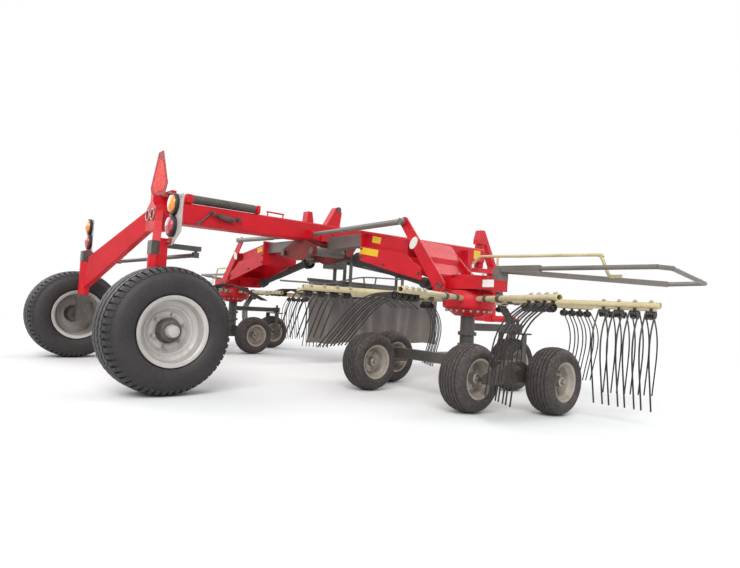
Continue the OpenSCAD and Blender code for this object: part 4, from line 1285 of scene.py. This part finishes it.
@dataclass
class Studio:
    """Floor, lamps, surroundings and the camera fitted to the picture."""

    floor_size: float = 60.0
    floor_colour: str = "#F4F4F2"
    fade: tuple[float, float] = (3.5, 9.0)
    aim: Triple = (0.0, 0.0, 0.6)
    camera_place: Triple = (4.90, -1.40, 0.65)
    focal_px: float = 551.0
    yaw: float = 49.1
    pitch: float = 2.5
    roll: float = 3.3
    sensor: float = 36.0

    WHITE = (1.0, 1.0, 1.0, 1.0)
    ROOM = (0.9, 0.94, 1.0, 1.0)
    # Soft lamps: name, place, size, power
    LAMPS = (
        ("key", (9.0, -9.0, 9.0), 9.0, 1500.0),
        ("fill", (-9.0, -5.0, 7.0), 10.0, 600.0),
        ("back", (2.0, 11.0, 8.0), 9.0, 750.0),
    )

    def seen_ray(self, tree: Tree) -> Socket:
        """An output that is 1 for the rays that show the background: camera, glossy and transmission rays."""
        path = add_node(tree, "ShaderNodeLightPath").outputs
        seen = combine(tree, "MAXIMUM", path["Is Camera Ray"], path["Is Glossy Ray"])
        return combine(tree, "MAXIMUM", seen, path["Is Transmission Ray"])

    def lay_floor(self) -> None:
        """Lays the pale floor, which fades into the white surroundings far from the machine."""
        bm = bmesh.new()
        bmesh.ops.create_grid(bm, x_segments=1, y_segments=1, size=self.floor_size / 2)
        mesh = bpy.data.meshes.new("floor")
        bm.to_mesh(mesh)
        bm.free()
        floor = bpy.data.objects.new("floor", mesh)
        bpy.context.scene.collection.objects.link(floor)
        made = bpy.data.materials.new("pale_floor")
        made.use_nodes = True
        tree = made.node_tree
        shader = tree.nodes["Principled BSDF"]
        fill(tree, shader, Base_Color=linear(self.floor_colour), Roughness=0.9, Specular_IOR_Level=0.1)
        place = add_node(tree, "ShaderNodeTexCoord").outputs["Object"]
        far = add_node(tree, "ShaderNodeVectorMath", {"operation": "LENGTH"}, i0=place).outputs["Value"]
        seen = combine(tree, "MULTIPLY", ramp(tree, far, *self.fade), self.seen_ray(tree))
        white = add_node(tree, "ShaderNodeEmission", Color=self.WHITE, Strength=1.0)
        mixed = add_node(tree, "ShaderNodeMixShader", i0=seen, i1=shader.outputs[0], i2=white.outputs[0])
        fill(tree, tree.nodes["Material Output"], Surface=mixed.outputs[0])
        mesh.materials.append(made)

    def hang_lamps(self) -> None:
        """Hangs the soft lamps and sets the surroundings."""
        for name, place, size, power in self.LAMPS:
            lamp = bpy.data.lights.new(name, "AREA")
            lamp.shape = "SQUARE"
            lamp.size = size
            lamp.energy = power
            item = bpy.data.objects.new(name, lamp)
            bpy.context.scene.collection.objects.link(item)
            item.location = place
            item.rotation_euler = (Vector(self.aim) - Vector(place)).to_track_quat("-Z", "Y").to_euler()
        world = bpy.data.worlds.new("soft_room")
        bpy.context.scene.world = world
        world.use_nodes = True
        tree = world.node_tree
        tree.nodes.clear()
        room = add_node(tree, "ShaderNodeBackground", Color=self.ROOM, Strength=0.55).outputs[0]
        white = add_node(tree, "ShaderNodeBackground", Color=self.WHITE, Strength=1.0).outputs[0]
        mixed = add_node(tree, "ShaderNodeMixShader", i0=self.seen_ray(tree), i1=room, i2=white)
        add_node(tree, "ShaderNodeOutputWorld", Surface=mixed.outputs[0])

    def set_camera(self) -> None:
        """Sets the camera at the picture's viewing angle."""
        lens = bpy.data.cameras.new("picture_camera")
        lens.sensor_width = self.sensor
        lens.lens = self.focal_px / PICTURE_W * self.sensor
        lens.clip_end = 200.0
        camera = bpy.data.objects.new("picture_camera", lens)
        bpy.context.scene.collection.objects.link(camera)
        yaw, pitch, roll = (math.radians(a) for a in (self.yaw, self.pitch, self.roll))
        ahead = Vector((-math.sin(yaw) * math.cos(pitch), math.cos(yaw) * math.cos(pitch), math.sin(pitch)))
        level = Vector((math.cos(yaw), math.sin(yaw), 0.0))
        up = level.cross(ahead)
        right = math.cos(roll) * level + math.sin(roll) * up
        over = -math.sin(roll) * level + math.cos(roll) * up
        turn = Matrix((right, over, -ahead)).transposed().to_4x4()
        camera.matrix_world = Matrix.Translation(at(*self.camera_place)) @ turn
        bpy.context.scene.camera = camera

    def build(self) -> None:
        """Sets up the whole stage."""
        self.lay_floor()
        self.hang_lamps()
        self.set_camera()
        bpy.context.scene.view_settings.view_transform = "Standard"


ROTOR_WHEELS = ("wheel_rear_in", "wheel_rear_out", "wheel_front_in", "wheel_front_out", "castor_wheel")


def main() -> None:
    """Builds the looks of the machine in order."""
    logging.basicConfig(level=logging.INFO, format="%(message)s")
    Studio().build()
    LOG.info("stage set for a picture of %d by %d", PICTURE_W, PICTURE_H)
    paint_frame()
    LOG.info("frame painted: %d nodes", len(frame["nodes"]))
    for side in Side:
        RearWheel(side).build()
        for name in ROTOR_WHEELS:
            RotorWheel(side, name).build()
        Rotor(side).build()
        LightBoard(side).build()
        RotorArm(side).build()
        LOG.info("wheels, rotor and arm built: %s", side.name.lower())
    WarningPlate().build()
    add_stickers()
    BeamFittings().build()
    FrontFittings().build()
    Curtain().build()
    LOG.info("curtain hung")


if __name__ == "__main__":
    main()
